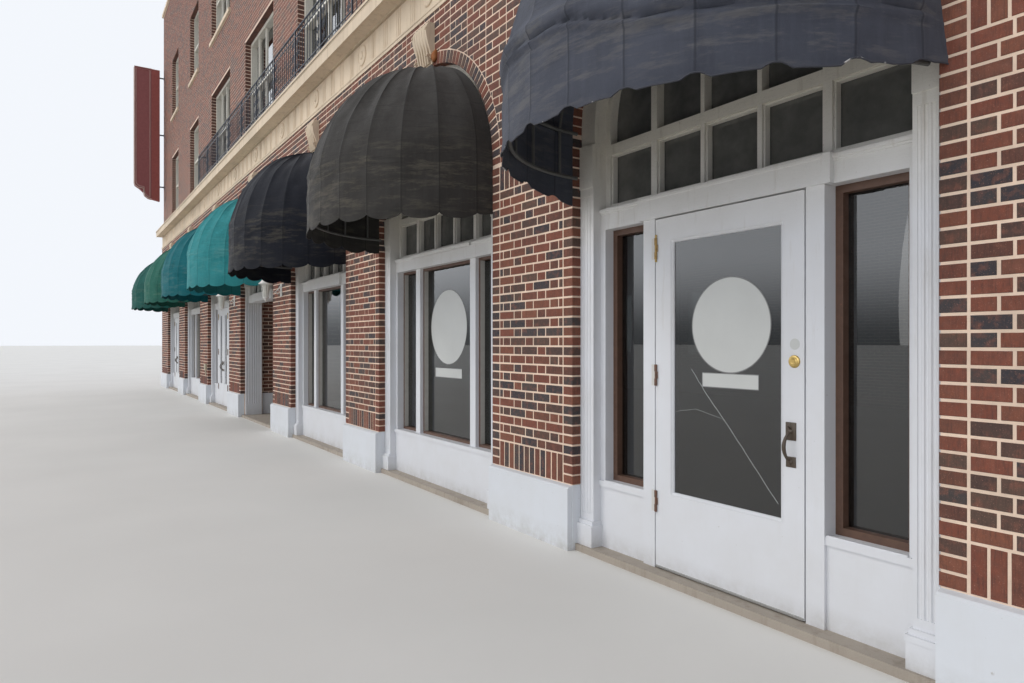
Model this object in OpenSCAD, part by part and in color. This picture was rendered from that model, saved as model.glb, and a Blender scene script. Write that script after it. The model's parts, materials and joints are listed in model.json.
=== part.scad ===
// Corner shop building: seven arched shop bays under dome awnings, brick, three storeys.
// Millimetres. X runs along the street front, the street is at -Y, Z is up, pavement at Z = 0.

/* [Plan] */
// Distance between bay centres
bay_pitch = 3353; // [3200:1:3600]
// Clear width of an arched bay
opening_w = 2337; // [2300:1:2400]
// Width of the end piers
end_pier = 1430; // [1250:5:1800]
// Thickness of the street wall at the shops
street_t = 400; // [380:5:480]
// Set-back of the upper street wall
setback = 50; // [20:5:70]
// Thickness of the side walls
side_t = 350; // [300:5:450]
// Thickness of the rear wall
rear_t = 350; // [300:5:450]

/* [Levels] */
// Height of the ground floor slab
slab_h = 45; // [40:1:60]
// Height of the painted plinth
plinth_h = 440; // [380:5:460]
// Springing height of the arches
spring_z = 2830; // [2780:5:2900]
// Underside of the architrave
architrave_z = 4485; // [4480:5:4560]
// Height of the architrave
architrave_h = 65; // [60:5:80]
// Height of the frieze
frieze_h = 324; // [300:2:340]
// Height of the cornice
cornice_h = 186; // [180:2:210]
// Storey height of the upper floors
storey_h = 2970; // [2900:10:3200]
// Parapet height over the roof
parapet_h = 900; // [700:10:1100]
// Thickness of the floors
floor_t = 220; // [180:5:280]
// Thickness of the coping
coping_h = 100; // [80:5:140]

/* [Shopfront] */
// Height of the underside of the door beam
beam_z = 2167; // [2150:1:2200]
// Height of the door beam
beam_h = 144; // [130:1:150]
// Width of the fluted pilasters
pilaster_w = 141; // [130:1:150]
// Height of the fluted pilasters
pilaster_top = 2456; // [2400:1:2520]
// Height of the blocks over the pilasters
impost_top = 2745; // [2700:5:2780]
// Width of the posts beside the doors
post_w = 97; // [90:1:110]
// Clear width between the posts
door_w = 1012; // [980:1:1030]
// Height of the bulkhead under the sidelights
bulkhead_h = 450; // [420:5:460]
// Height of the shop sills
sill_h = 38; // [30:1:45]
// Thickness of the shop glass
glass_t = 8; // [6:1:10]
// Thickness of the jambs in the entry bay
trim_w = 60; // [50:1:70]
// Gap round the doors
door_gap = 8; // [7:0.5:10]
// Gap between the two leaves of a pair
meet_gap = 11; // [11:1:14]
// Thickness of the doors
door_t = 45; // [40:1:50]

/* [Upper windows] */
// Width of a single window
window_w = 1265; // [1150:5:1300]
// Width of a balcony window
french_w = 2000; // [1800:5:2100]
// Height of the sill over the floor
sill_up = 230; // [200:5:300]
// Height of the window head over the floor
head_up = 1990; // [1900:5:2050]
// Thickness of the window frames
frame_t = 110; // [90:5:130]

/* [Awnings] */
// How far the domes reach past the arches
awning_over = 1.5; // [1:0.5:4]
// Height of the lower hoop
hoop_z = 2520; // [2500:5:2560]
// Drop of the scalloped edge below the hoop
valance_h = 100; // [80:5:105]
// How far the crown of a dome lies under the crown of its arch
dome_drop = 68.5; // [20:0.5:110]
// Thickness of the cloth
cloth_t = 3; // [2:0.5:5]
// Diameter of the frame tube
tube_d = 25; // [20:1:32]

/* [Railing] */
// Height of the railing
rail_h = 755; // [700:5:850]
// Spacing of the pickets
picket_pitch = 112; // [100:1:140]

/* [Trim] */
// Projection of a keystone at its scroll
keystone_out = 90; // [70:5:120]
// Projection of the cornice
cornice_out = 187; // [180:1:220]
// Projection of the blade sign from the wall
sign_out = 820; // [700:10:900]
// Height of the lantern
lantern_h = 425; // [380:5:460]

/* [Hidden] */

$fn = 48;
bays = 7;
side_bays = 3;
body_w = (bays - 1) * bay_pitch + opening_w + 2 * end_pier;
body_d = (side_bays - 1) * bay_pitch + opening_w + 2 * end_pier;
yf = -body_d / 2;
yr = body_d / 2;
xl = -body_w / 2;
xr = body_w / 2;
yi = yf + street_t;
arch_r = opening_w / 2;
awning_r = arch_r + awning_over;
dome_rise = arch_r - dome_drop;
frieze_z = architrave_z + architrave_h;
cornice_z = frieze_z + frieze_h;
floor2_z = cornice_z + cornice_h;
floor3_z = floor2_z + storey_h;
roof_z = floor3_z + storey_h;
wall_top = roof_z + floor_t + parapet_h;
band_in = 60;
e = 1;

function bx(i) = (i - (bays - 1) / 2) * bay_pitch;
function sy(i) = (i - (side_bays - 1) / 2) * bay_pitch;
function is_french(i) = i > 1 && i < 5;
function win_w(i) = is_french(i) ? french_w : window_w;

module block(x0, x1, y0, y1, z0, z1) {
    translate([x0, y0, z0]) cube([x1 - x0, y1 - y0, z1 - z0]);
}

// A flat front shape drawn in x and z, running back from y0 to y1.
module front_slab(y0, y1) {
    translate([0, y1, 0]) rotate([90, 0, 0]) linear_extrude(y1 - y0) children();
}

module arch_shape(r, z0) {
    intersection() {
        translate([0, spring_z]) circle(r, $fn = 96);
        translate([-r, spring_z]) square([2 * r, r]);
    }
    translate([-r, z0]) square([2 * r, spring_z - z0]);
}

module ground_slab() {
    color("silver") {
        block(xl + side_t, xr - side_t, yi, yr - rear_t, 0, slab_h);
        for (i = [0:bays - 1])
            translate([bx(i), 0, 0])
                block(-arch_r, arch_r, yf + 20, yi, 0, slab_h);
    }
}

module street_piers() {
    color("firebrick") {
        for (i = [0:bays - 2])
            block(bx(i) + arch_r, bx(i + 1) - arch_r, yf, yi, 0, spring_z);
        block(xl, xl + end_pier, yf, yi, 0, spring_z);
        block(xr - end_pier, xr, yf, yi, 0, spring_z);
    }
}

module arch_wall() {
    color("firebrick") {
        difference() {
            block(xl, xr, yf, yi, spring_z, architrave_z);
            for (i = [0:bays - 1])
                translate([bx(i), 0, 0])
                    front_slab(yf - e, yi + e)
                        translate([0, spring_z]) circle(arch_r, $fn = 96);
        }
        block(xl, xr, yf + band_in, yi, architrave_z, floor2_z);
    }
}

module plinth_profile(x0, x1) {
    translate([x0, 0, 0]) rotate([90, 0, 90]) linear_extrude(x1 - x0)
        polygon([[yf - 42, 0], [yf, 0], [yf, plinth_h], [yf - 30, plinth_h - 10], [yf - 42, plinth_h - 22]]);
}

module pier_plinths() {
    color("whitesmoke") {
        for (i = [0:bays - 2])
            plinth_profile(bx(i) + arch_r, bx(i + 1) - arch_r);
        plinth_profile(xl, xl + end_pier);
        plinth_profile(xr - end_pier, xr);
    }
}

// Side profile of a keystone: nearly flush at its foot, swelling to a scroll at its head.
key_z0 = spring_z + arch_r + 4;
key_z1 = architrave_z - 110;
key_h = key_z1 - key_z0;
function key_out(t) = t < 0.8
    ? 18 + (keystone_out - 18) * (0.5 - 0.5 * cos(225 * t))
    : keystone_out - 25 * pow((t - 0.8) / 0.2, 2);

module keystone() {
    intersection() {
        translate([-200, 0, 0]) rotate([90, 0, 90]) linear_extrude(400)
            polygon(concat([[yf, key_z0]],
                [for (k = [0:16]) [yf - key_out(k / 16), key_z0 + key_h * k / 16]],
                [[yf, key_z1]]));
        front_slab(yf - 400, yf + e)
            polygon([[-130, key_z0 - e], [130, key_z0 - e], [154, key_z1 + e], [-154, key_z1 + e]]);
    }
}

module keystones() {
    color("tan")
        for (i = [0:bays - 1])
            translate([bx(i), 0, 0]) keystone();
}

module run_profile() {
    translate([xl, 0, 0]) rotate([90, 0, 90]) linear_extrude(body_w) children();
}

module architrave() {
    color("tan") run_profile()
        polygon([[yf + band_in, architrave_z], [yf - 12, architrave_z], [yf - 12, architrave_z + 30],
            [yf - 20, architrave_z + 36], [yf - 20, frieze_z - 12], [yf - 8, frieze_z],
            [yf + band_in, frieze_z]]);
}

unit_pitch = bay_pitch / 10;

// Half profile of a roundel: a raised rim, a dished ring and a button.
module roundel_profile(k) {
    scale([k, k])
        polygon([[0, -6], [100, -6], [100, 8], [88, 14], [80, 8], [40, 8], [34, 18], [0, 22]]);
}

module frieze() {
    color("tan") {
        block(xl, xr, yf + 22, yf + band_in, frieze_z, cornice_z);
        translate([0, 0, frieze_z + 16]) linear_extrude(frieze_h - 32) difference() {
            translate([xl, yf + 8]) square([body_w, 24]);
            for (i = [-(bays * 5 - 1) : bays * 5 - 1])
                if (i % 5 != 0)
                    for (k = [-1:1])
                        translate([i * unit_pitch + k * 45 - 9, yf + 8 - e]) square([18, 5]);
        }
        for (i = [-bays : bays])
            translate([i * bay_pitch / 2, yf + 8, frieze_z + frieze_h / 2]) rotate([90, 0, 0])
                rotate_extrude() roundel_profile(frieze_h / 280);
    }
}

module cornice() {
    o = cornice_out;
    color("tan") run_profile()
        polygon([[yf + band_in, cornice_z], [yf - 14, cornice_z], [yf - 14, cornice_z + 8],
            [yf - o + 30, cornice_z + 8], [yf - o + 30, cornice_z], [yf - o + 12, cornice_z],
            [yf - o + 12, floor2_z - 58], [yf - o + 4, floor2_z - 48], [yf - o, floor2_z - 40],
            [yf - o, floor2_z - 6], [yf - o + 6, floor2_z], [yf + band_in, floor2_z]]);
}

module window_cuts(z) {
    for (i = [0:bays - 1])
        translate([bx(i), 0, 0])
            block(-win_w(i) / 2, win_w(i) / 2, yf - e, yi + e,
                is_french(i) && z == floor2_z ? z + 60 : z + sill_up, z + head_up);
}

module upper_wall() {
    color("firebrick") difference() {
        block(xl, xr, yf + setback, yi, floor2_z, wall_top);
        window_cuts(floor2_z);
        window_cuts(floor3_z);
    }
}

module side_wall() {
    color("firebrick") difference() {
        block(xl, xl + side_t, yi, yr - rear_t, 0, wall_top);
        for (i = [0:side_bays - 1]) {
            translate([0, sy(i), 0]) {
                rotate([0, 0, 90]) front_slab(-xl - side_t - e, -xl + e)
                    arch_shape(arch_r, plinth_h);
                for (z = [floor2_z, floor3_z])
                    block(xl - e, xl + side_t + e, -window_w / 2, window_w / 2, z + sill_up, z + head_up);
            }
        }
    }
}

module party_wall() {
    color("firebrick") block(xr - side_t, xr, yi, yr - rear_t, 0, wall_top);
}

module rear_wall() {
    color("firebrick") difference() {
        block(xl, xr, yr - rear_t, yr, 0, wall_top);
        for (i = [0:bays - 1])
            translate([bx(i), 0, 0])
                for (z = [0, floor2_z, floor3_z])
                    block(-window_w / 2, window_w / 2, yr - rear_t - e, yr + e,
                        z == 0 ? 1100 : z + sill_up, z == 0 ? 2860 : z + head_up);
    }
}

module coping() {
    color("tan") difference() {
        block(xl - 50, xr + 50, yf + setback - 50, yr + 50, wall_top, wall_top + coping_h);
        block(xl + side_t + 40, xr - side_t - 40, yi + 40, yr - rear_t - 40, wall_top - e, wall_top + coping_h + e);
    }
}

module upper_floors() {
    color("burlywood")
        for (z = [floor2_z, floor3_z])
            block(xl + side_t, xr - side_t, yi, yr - rear_t, z - floor_t, z);
}

module roof_deck() {
    color("dimgray") block(xl + side_t, xr - side_t, yi, yr - rear_t, roof_z, roof_z + floor_t);
}

// Depths behind the brick face.
d_base = 38;
d_pil = 68;
d_block = 98;
d_post = 112;
d_mullion = 170;
d_bulk = 130;
d_case = 134;
d_fan = 178;
d_sash = 205;
d_back = 330;
fan_t = 62;
case_w = 45;
half_door = door_w / 2;
half_post = half_door + post_w;
half_pil = arch_r - pilaster_w;
half_case = half_pil - case_w;
sash_z0 = bulkhead_h + sill_h;
fan_z = beam_z + beam_h;

// A pilaster standing at x = 0, its base and base moulding standing out towards the opening.
module fluted(w, z1) {
    n = 4;
    difference() {
        block(0, w, yf + d_pil, yf + d_back, slab_h, z1);
        for (k = [0:n - 1])
            translate([w * (k + 1) / (n + 1), yf + d_pil - 3, slab_h + 215])
                cylinder(h = z1 - slab_h - 270, d = w / (n + 3), $fn = 24);
    }
    block(0, w + 14, yf + d_base, yf + d_bulk, slab_h, 163);
    block(0, w + 18, yf + d_base - 4, yf + d_bulk, 163, 190);
    block(0, w + 8, yf + d_base + 12, yf + d_bulk, 190, 215);
}

// Fluted jamb on the return of the entry bay, its flutes facing the opening.
jamb_d = 293;
module entry_jamb() {
    y0 = yf + d_back + 47 - jamb_d;
    difference() {
        block(0, trim_w, y0, y0 + jamb_d, slab_h, pilaster_top);
        for (k = [1:6])
            translate([trim_w + 4, y0 + jamb_d * k / 7, slab_h + 205])
                cylinder(h = pilaster_top - slab_h - 260, d = 26, $fn = 24);
    }
    block(trim_w - 5, trim_w + 10, y0, y0 + jamb_d, slab_h, slab_h + 150);
}

module shop_pilasters() {
    color("whitesmoke")
        for (i = [0:bays - 1])
            translate([bx(i), 0, 0])
                for (s = [0, 1])
                    mirror([s, 0, 0]) translate([-arch_r, 0, 0])
                        if (i == 3)
                            entry_jamb();
                        else
                            fluted(pilaster_w, pilaster_top);
}

module shop_frames() {
    color("whitesmoke")
        for (i = [0:bays - 1])
            translate([bx(i), 0, 0]) {
                hw = i == 3 ? arch_r - trim_w : half_pil;
                block(-hw, hw, yf + d_case, yf + d_back, beam_z, fan_z);
                if (i != 1 && i != 5)
                    block(-half_post - 36, half_post + 36, yf + d_block, yf + d_case + 5, beam_z, fan_z);
                if (i != 3)
                    for (s = [0, 1])
                        mirror([s, 0, 0]) {
                            if (is_window_bay(i))
                                block(half_door, half_post, yf + d_mullion, yf + d_back, sash_z0 - 5, beam_z);
                            else {
                                block(half_door, half_post, yf + d_post, yf + d_back, slab_h, beam_z);
                                translate([(half_post + half_pil) / 2, 0, 0]) bulkhead(half_pil - half_post);
                            }
                            block(half_case, half_pil, yf + d_case, yf + d_back, sash_z0, beam_z);
                        }
                if (is_window_bay(i))
                    bulkhead(2 * half_pil);
            }
}

function is_window_bay(i) = i == 1 || i == 4 || i == 5;
function sash_w(i) = is_window_bay(i) ? display_b : sash_b;

module bulkhead(w) {
    block(-w / 2, w / 2, yf + d_bulk, yf + d_back, slab_h, bulkhead_h);
    block(-w / 2, w / 2, yf + d_bulk - 12, yf + d_back, bulkhead_h, sash_z0);
}

module pane_frame(w, z0, z1, b, y0, y1) {
    front_slab(y0, y1) difference() {
        translate([-w / 2, z0]) square([w, z1 - z0]);
        translate([-w / 2 + b, z0 + b]) square([w - 2 * b, z1 - z0 - 2 * b]);
    }
}

side_w = half_case - half_post;
side_x = (half_case + half_post) / 2;
sash_b = 38;
display_b = 25;

module shop_sashes() {
    color("saddlebrown")
        for (i = [0:bays - 1])
            if (i != 3)
                translate([bx(i), 0, 0]) {
                    for (s = [-1, 1])
                        translate([s * side_x, 0, 0])
                            pane_frame(side_w, sash_z0, beam_z, sash_w(i), yf + d_sash, yf + d_sash + 70);
                    if (is_window_bay(i))
                        pane_frame(door_w, sash_z0, beam_z, display_b, yf + d_sash, yf + d_sash + 70);
                }
}

module shop_glass() {
    color("lightblue")
        for (i = [0:bays - 1])
            translate([bx(i), 0, 0]) {
                if (i != 3)
                    for (s = [-1, 1])
                        translate([s * side_x, 0, 0])
                            pane(side_w, sash_w(i), yf + d_sash + 46);
                if (is_window_bay(i))
                    pane(door_w, display_b, yf + d_sash + 46);
                front_slab(yf + d_fan + fan_t, yf + d_fan + fan_t + glass_t) arch_shape(half_pil, fan_z);
            }
}

// A sheet of glass filling a sash w wide whose frame is b wide.
module pane(w, b, y) {
    block(-w / 2 + b, w / 2 - b, y, y + glass_t, sash_z0 + b, beam_z - b);
}

// Bars of a fanlight: an outer frame, two posts, two muntins and two cross bars.
module fan_bars() {
    difference() {
        arch_shape(half_pil, fan_z);
        arch_shape(half_pil - 45, fan_z + 23);
    }
    post_x = half_post - 25;
    for (x = [-post_x, post_x])
        translate([x - 24.5, fan_z]) square([49, 2000]);
    for (x = [-post_x / 3, post_x / 3])
        translate([x - 14, fan_z]) square([28, 2000]);
    translate([-half_pil, impost_top - 70]) square([2 * half_pil, 67]);
    translate([-half_pil, spring_z + arch_r * 0.3]) square([2 * half_pil, 28]);
}

module fanlights() {
    color("whitesmoke")
        for (i = [0:bays - 1])
            translate([bx(i), 0, 0]) {
                front_slab(yf + d_pil + 12, yf + d_back) difference() {
                    arch_shape(arch_r, impost_top);
                    arch_shape(half_pil, impost_top - e);
                }
                for (s = [0, 1])
                    mirror([s, 0, 0]) {
                        block(half_pil, arch_r, yf + d_pil - 8, yf + d_back, pilaster_top, impost_top);
                        if (i == 3)
                            block(half_pil, arch_r - trim_w, yf + d_case, yf + d_back, fan_z, pilaster_top);
                    }
                front_slab(yf + d_fan, yf + d_fan + fan_t) intersection() {
                    fan_bars();
                    arch_shape(half_pil, fan_z);
                }
            }
}

vest_d = 1700;
vest_t = 200;
ceil_z = fan_z - 100;

module vestibule_walls() {
    color("firebrick")
        for (s = [-1, 1])
            mirror([s < 0 ? 1 : 0, 0, 0])
                block(arch_r, arch_r + vest_t, yi, yf + vest_d, slab_h, ceil_z);
}

module vestibule_ceiling() {
    color("whitesmoke") {
        block(-arch_r, arch_r, yf + d_back + 47, yi, ceil_z, ceil_z + 100);
        block(-arch_r + trim_w, arch_r - trim_w, yf + d_back, yf + d_back + 47, ceil_z, ceil_z + 100);
        block(-arch_r - vest_t, arch_r + vest_t, yi, yf + vest_d + 60, ceil_z, ceil_z + 100);
    }
}

module inner_doors() {
    y0 = yf + vest_d;
    color("saddlebrown") {
        front_slab(y0, y0 + 60) difference() {
            translate([-arch_r - vest_t, slab_h]) square([2 * arch_r + 2 * vest_t, ceil_z - slab_h]);
            for (s = [-1, 1]) {
                translate([s * 480 - 340, 420]) square([680, 1660]);
                translate([s * 1010 - 100, 420]) square([200, 1660]);
            }
        }
        for (s = [-1, 1]) {
            block(s * 480 - 340, s * 480 + 340, y0 + 26, y0 + 34, 420, 2080);
            block(s * 1010 - 100, s * 1010 + 100, y0 + 26, y0 + 34, 420, 2080);
        }
    }
}

leaf_z0 = slab_h + door_gap;
leaf_z1 = beam_z - door_gap;
y_leaf = yf + d_post;
glass_z0 = 508;
glass_z1 = 2025;
stile = 122;

// A glazed leaf from x0 to x1, its glass a separate piece.
module leaf(x0, x1) {
    front_slab(y_leaf, y_leaf + door_t) difference() {
        translate([x0, leaf_z0]) square([x1 - x0, leaf_z1 - leaf_z0]);
        translate([x0 + stile, glass_z0]) square([x1 - x0 - 2 * stile, glass_z1 - glass_z0]);
    }
}

module leaf_glass(x0, x1) {
    block(x0 + stile, x1 - stile, y_leaf + 18, y_leaf + 18 + glass_t, glass_z0, glass_z1);
}

xa = bx(6);
xe = bx(2);
xg = bx(0);
edge = half_door - door_gap;
pull_z = 793;
pull_h = 224;
pull_in = 72;
knuckle_r = 8;
knuckle_in = knuckle_r + 1;

hinge_h = 128;
hinge_zs = [452, 1216, 1984];
leaf_knuckle_h = hinge_h / 3;
knuckle_gap = 0.3;

// The middle knuckle of each hinge, on the leaf.
module knuckles(x) {
    for (z = hinge_zs)
        translate([x, y_leaf - knuckle_r, z - leaf_knuckle_h / 2])
            cylinder(h = leaf_knuckle_h, r = knuckle_r, $fn = 24);
}

// The other half of the hinges of a leaf whose edge is at x: plates on the post, each with two knuckles.
module hinge_plates(x, flip) {
    h = (hinge_h - leaf_knuckle_h) / 2 - knuckle_gap;
    translate([x, y_leaf, 0]) mirror([flip, 0, 0])
        for (z = hinge_zs) {
            block(-door_gap - 24, -knuckle_gap, -3, 0, z - hinge_h / 2, z + hinge_h / 2);
            for (z0 = [z - hinge_h / 2, z + hinge_h / 2 - h]) {
                translate([knuckle_in, -knuckle_r, z0])
                    cylinder(h = h, r = knuckle_r - knuckle_gap, $fn = 24);
                block(-4, knuckle_in, -knuckle_r - 1.5, -knuckle_r + 1.5, z0, z0 + h);
                block(-4, -knuckle_gap, -knuckle_r - 1.5, -1.5, z0, z0 + h);
            }
        }
}

module door_hinges() {
    color("dimgray") {
        hinge_plates(xa - edge, 0);
        for (x = [xe, xg]) {
            hinge_plates(x - edge, 0);
            hinge_plates(x + edge, 1);
        }
    }
}

module pull(x, z0, z1) {
    for (z = [z0 + 25, z1 - 45])
        translate([x, y_leaf, z]) rotate([90, 0, 0]) cylinder(h = 55, d = 14, $fn = 24);
    translate([x, y_leaf - 55, z0 + 10]) cylinder(h = z1 - z0 - 40, d = 18, $fn = 24);
    block(x - 27, x + 27, y_leaf - 5, y_leaf, z0, z0 + 53);
    block(x - 27, x + 27, y_leaf - 5, y_leaf, z1 - 90, z1);
}

module door_a() {
    color("whitesmoke") leaf(xa - edge, xa + edge);
}

module door_a_glass() {
    color("lightblue") leaf_glass(xa - edge, xa + edge);
}

module door_a_hardware() {
    color("dimgray") {
        knuckles(xa - edge + knuckle_in);
        pull(xa + edge - pull_in, pull_z, pull_z + pull_h);
        translate([xa + edge - 53, y_leaf, 1318]) rotate([90, 0, 0]) cylinder(h = 14, d = 60, $fn = 48);
    }
}

module door_e_left() {
    color("whitesmoke") leaf(xe - edge, xe - meet_gap / 2);
}

module door_e_left_glass() {
    color("lightblue") leaf_glass(xe - edge, xe - meet_gap / 2);
}

module door_e_left_hardware() {
    color("dimgray") {
        knuckles(xe - edge + knuckle_in);
        pull(xe - meet_gap / 2 - pull_in, pull_z, pull_z + pull_h);
    }
}

module door_e_right() {
    color("whitesmoke") leaf(xe + meet_gap / 2, xe + edge);
}

module door_e_right_glass() {
    color("lightblue") leaf_glass(xe + meet_gap / 2, xe + edge);
}

module door_e_right_hardware() {
    color("dimgray") {
        knuckles(xe + edge - knuckle_in);
        pull(xe + meet_gap / 2 + pull_in, pull_z, pull_z + pull_h);
    }
}

module door_g_left() {
    color("whitesmoke") leaf(xg - edge, xg - meet_gap / 2);
}

module door_g_left_glass() {
    color("lightblue") leaf_glass(xg - edge, xg - meet_gap / 2);
}

module door_g_left_hardware() {
    color("dimgray") {
        knuckles(xg - edge + knuckle_in);
        pull(xg - meet_gap / 2 - pull_in, pull_z, pull_z + pull_h);
    }
}

module door_g_right() {
    color("whitesmoke") leaf(xg + meet_gap / 2, xg + edge);
}

module door_g_right_glass() {
    color("lightblue") leaf_glass(xg + meet_gap / 2, xg + edge);
}

module door_g_right_hardware() {
    color("dimgray") {
        knuckles(xg + edge - knuckle_in);
        pull(xg + meet_gap / 2 + pull_in, pull_z, pull_z + pull_h);
    }
}

module sash_frame(w, z0, z1, y, muntins) {
    b = 60;
    mid = (z0 + z1) / 2;
    front_slab(y, y + frame_t) difference() {
        translate([-w / 2, z0]) square([w, z1 - z0]);
        translate([-w / 2 + b, z0 + b]) square([w - 2 * b, mid - z0 - b - 22]);
        translate([-w / 2 + b, mid + 22]) square([w - 2 * b, z1 - mid - b - 22]);
    }
    for (k = [1:muntins - 1])
        block(-w / 2 + (w * k) / muntins - 18, -w / 2 + (w * k) / muntins + 18, y + 30, y + 70, z0 + b, z1 - b);
}

y_win = yf + setback + 100;

module street_window_frames(z) {
    for (i = [0:bays - 1])
        translate([bx(i), 0, 0])
            sash_frame(win_w(i), is_french(i) && z == floor2_z ? z + 60 : z + sill_up, z + head_up,
                y_win, is_french(i) ? 4 : 2);
}

module street_window_glass(z) {
    for (i = [0:bays - 1])
        translate([bx(i), 0, 0])
            block(-win_w(i) / 2 + 10, win_w(i) / 2 - 10, y_win + frame_t, y_win + frame_t + glass_t,
                (is_french(i) && z == floor2_z ? z + 60 : z + sill_up) + 10, z + head_up - 10);
}

module window_frames() {
    color("whitesmoke") {
        street_window_frames(floor2_z);
        street_window_frames(floor3_z);
        side_frames();
    }
}

module window_glass() {
    color("lightblue") {
        street_window_glass(floor2_z);
        street_window_glass(floor3_z);
        side_glass();
    }
}

module window_sills() {
    color("tan")
        for (i = [0:bays - 1])
            translate([bx(i), 0, 0]) {
                if (!is_french(i))
                    block(-win_w(i) / 2 - 60, win_w(i) / 2 + 60, yf + setback - 45, yf + setback,
                        floor2_z + sill_up - 80, floor2_z + sill_up);
                block(-win_w(i) / 2 - 60, win_w(i) / 2 + 60, yf + setback - 45, yf + setback,
                    floor3_z + sill_up - 80, floor3_z + sill_up);
            }
}

module side_frames() {
    union() {
        for (i = [0:side_bays - 1])
            translate([0, sy(i), 0]) {
                rotate([0, 0, 90]) {
                    translate([0, -xl - 160, 0]) front_slab(0, frame_t) difference() {
                        arch_shape(arch_r, plinth_h);
                        arch_shape(arch_r - 80, plinth_h + 80);
                    }
                    translate([0, -xl - 160, 0]) block(-arch_r + 80, arch_r - 80, 20, 80, 2180, 2300);
                    for (x = [-half_door, half_door])
                        translate([x, -xl - 160, 0]) block(-40, 40, 20, 80, plinth_h + 80, 2180);
                    for (z = [floor2_z, floor3_z])
                        sash_frame(window_w, z + sill_up, z + head_up, -xl - 160, 2);
                }
            }
        for (i = [0:bays - 1])
            translate([bx(i), 0, 0])
                for (z = [0, floor2_z, floor3_z])
                    sash_frame(window_w, z == 0 ? 1100 : z + sill_up, z == 0 ? 2860 : z + head_up, yr - 200, 2);
    }
}

module side_glass() {
    union() {
        for (i = [0:side_bays - 1])
            translate([0, sy(i), 0]) rotate([0, 0, 90]) {
                translate([0, -xl - 160 - glass_t, 0]) front_slab(0, glass_t)
                    arch_shape(arch_r - 10, plinth_h + 10);
                for (z = [floor2_z, floor3_z])
                    block(-window_w / 2 + 10, window_w / 2 - 10, -xl - 160 - glass_t, -xl - 160,
                        z + sill_up + 10, z + head_up - 10);
            }
        for (i = [0:bays - 1])
            translate([bx(i), 0, 0])
                for (z = [0, floor2_z, floor3_z])
                    block(-window_w / 2 + 10, window_w / 2 - 10, yr - 200 - glass_t, yr - 200,
                        (z == 0 ? 1100 : z + sill_up) + 10, (z == 0 ? 2860 : z + head_up) - 10);
    }
}

rail_y = yf - cornice_out + 74;
rail_x = bay_pitch * 1.5;

module balcony_railing() {
    n = floor(2 * rail_x / picket_pitch);
    color("darkslategray") {
        for (z = [floor2_z + 90, floor2_z + rail_h - 20])
            block(-rail_x, rail_x, rail_y - 10, rail_y + 10, z, z + 20);
        for (k = [0:n])
            translate([-rail_x + k * 2 * rail_x / n, rail_y, floor2_z + (k % 10 == 0 ? 0 : 100)])
                translate([-8, -8, 0]) cube([16, 16, (k % 10 == 0 ? rail_h : rail_h - 110)]);
        for (s = [-1, 1]) {
            for (z = [floor2_z + 90, floor2_z + rail_h - 20])
                translate([s * (rail_x) - 10, rail_y, z]) cube([20, yf + setback - rail_y, 20]);
        }
    }
}

// Half profile of a dome: a straight skirt, then a curve that closes at the crown.
function dome_arc(k) = [for (a = [0:6:90]) [(awning_r - k) * cos(a), spring_z + (dome_rise - k) * sin(a)]];
function reversed(p) = [for (i = [len(p) - 1 : -1 : 0]) p[i]];

module awnings() {
    color("slategray")
        for (i = [0:bays - 1])
            translate([bx(i), yf, 0])
                rotate([0, 0, 180]) rotate_extrude(angle = 180, $fn = 96)
                    polygon(concat([[awning_r, hoop_z - valance_h]], dome_arc(0),
                        reversed(dome_arc(cloth_t)), [[awning_r - cloth_t, hoop_z - valance_h]]));
}

module awning_frames() {
    r = awning_r - cloth_t - tube_d / 2 - 0.3;
    color("dimgray")
        for (i = [0:bays - 1])
            translate([bx(i), yf, 0]) {
                for (z = [hoop_z, spring_z])
                    translate([0, 0, z]) rotate([0, 0, 180]) rotate_extrude(angle = 180, $fn = 96)
                        translate([r, 0]) circle(d = tube_d, $fn = 24);
                for (a = [30:30:150])
                    rotate([0, 0, -a]) {
                        translate([r, 0, hoop_z]) cylinder(h = spring_z - hoop_z, d = tube_d * 0.7, $fn = 24);
                    }
            }
}

sign_z0 = floor2_z + 490;
sign_z1 = floor3_z + 2270;
sign_in = 90;
sign_t = 180;

// The panel's foot steps up towards the wall and down to a point under its middle.
module blade_sign() {
    color("firebrick") {
        translate([xl + 10, 0, 0]) rotate([90, 0, 90]) linear_extrude(sign_t)
            polygon([[yf - sign_in, sign_z0 + 200], [yf - 300, sign_z0 + 200], [yf - 420, sign_z0],
                [yf - sign_out, sign_z0 + 350], [yf - sign_out, sign_z1], [yf - sign_in, sign_z1]]);
        for (t = [0.1, 0.5, 0.94])
            translate([xl + 70, 0, sign_z0 + (sign_z1 - sign_z0) * t])
                block(0, 60, yf - sign_in - 20, yf + setback, 0, 60);
    }
}

lantern_x = bay_pitch / 2;
lantern_y = yf - 240;
lantern_z = spring_z - 785;
glass_h = lantern_h * 0.6;
glass_r = lantern_h / 7;

// A tapered pan, six bars round the glass and a hipped cap, on an arm from a wall plate.
module lantern() {
    block(-40, 40, yf - 15, yf, lantern_z + 85, lantern_z + 285);
    block(-12, 12, lantern_y + glass_r + 8, yf - 10, lantern_z + 165, lantern_z + 189);
    translate([0, lantern_y, lantern_z]) {
        cylinder(h = 30, r1 = glass_r - 20, r2 = glass_r + 10, $fn = 48);
        translate([0, 0, 30 + glass_h])
            cylinder(h = lantern_h * 0.21, r1 = glass_r * 1.75, r2 = glass_r / 2, $fn = 48);
        translate([0, 0, 30 + glass_h + lantern_h * 0.2]) sphere(r = glass_r * 0.4, $fn = 32);
        for (a = [30:60:330])
            rotate([0, 0, a]) translate([glass_r + 2, -5, 25]) cube([8, 10, glass_h + 10]);
    }
}

module lanterns() {
    color("whitesmoke")
        for (s = [-1, 1])
            translate([s * lantern_x, 0, 0]) lantern();
}

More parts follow.
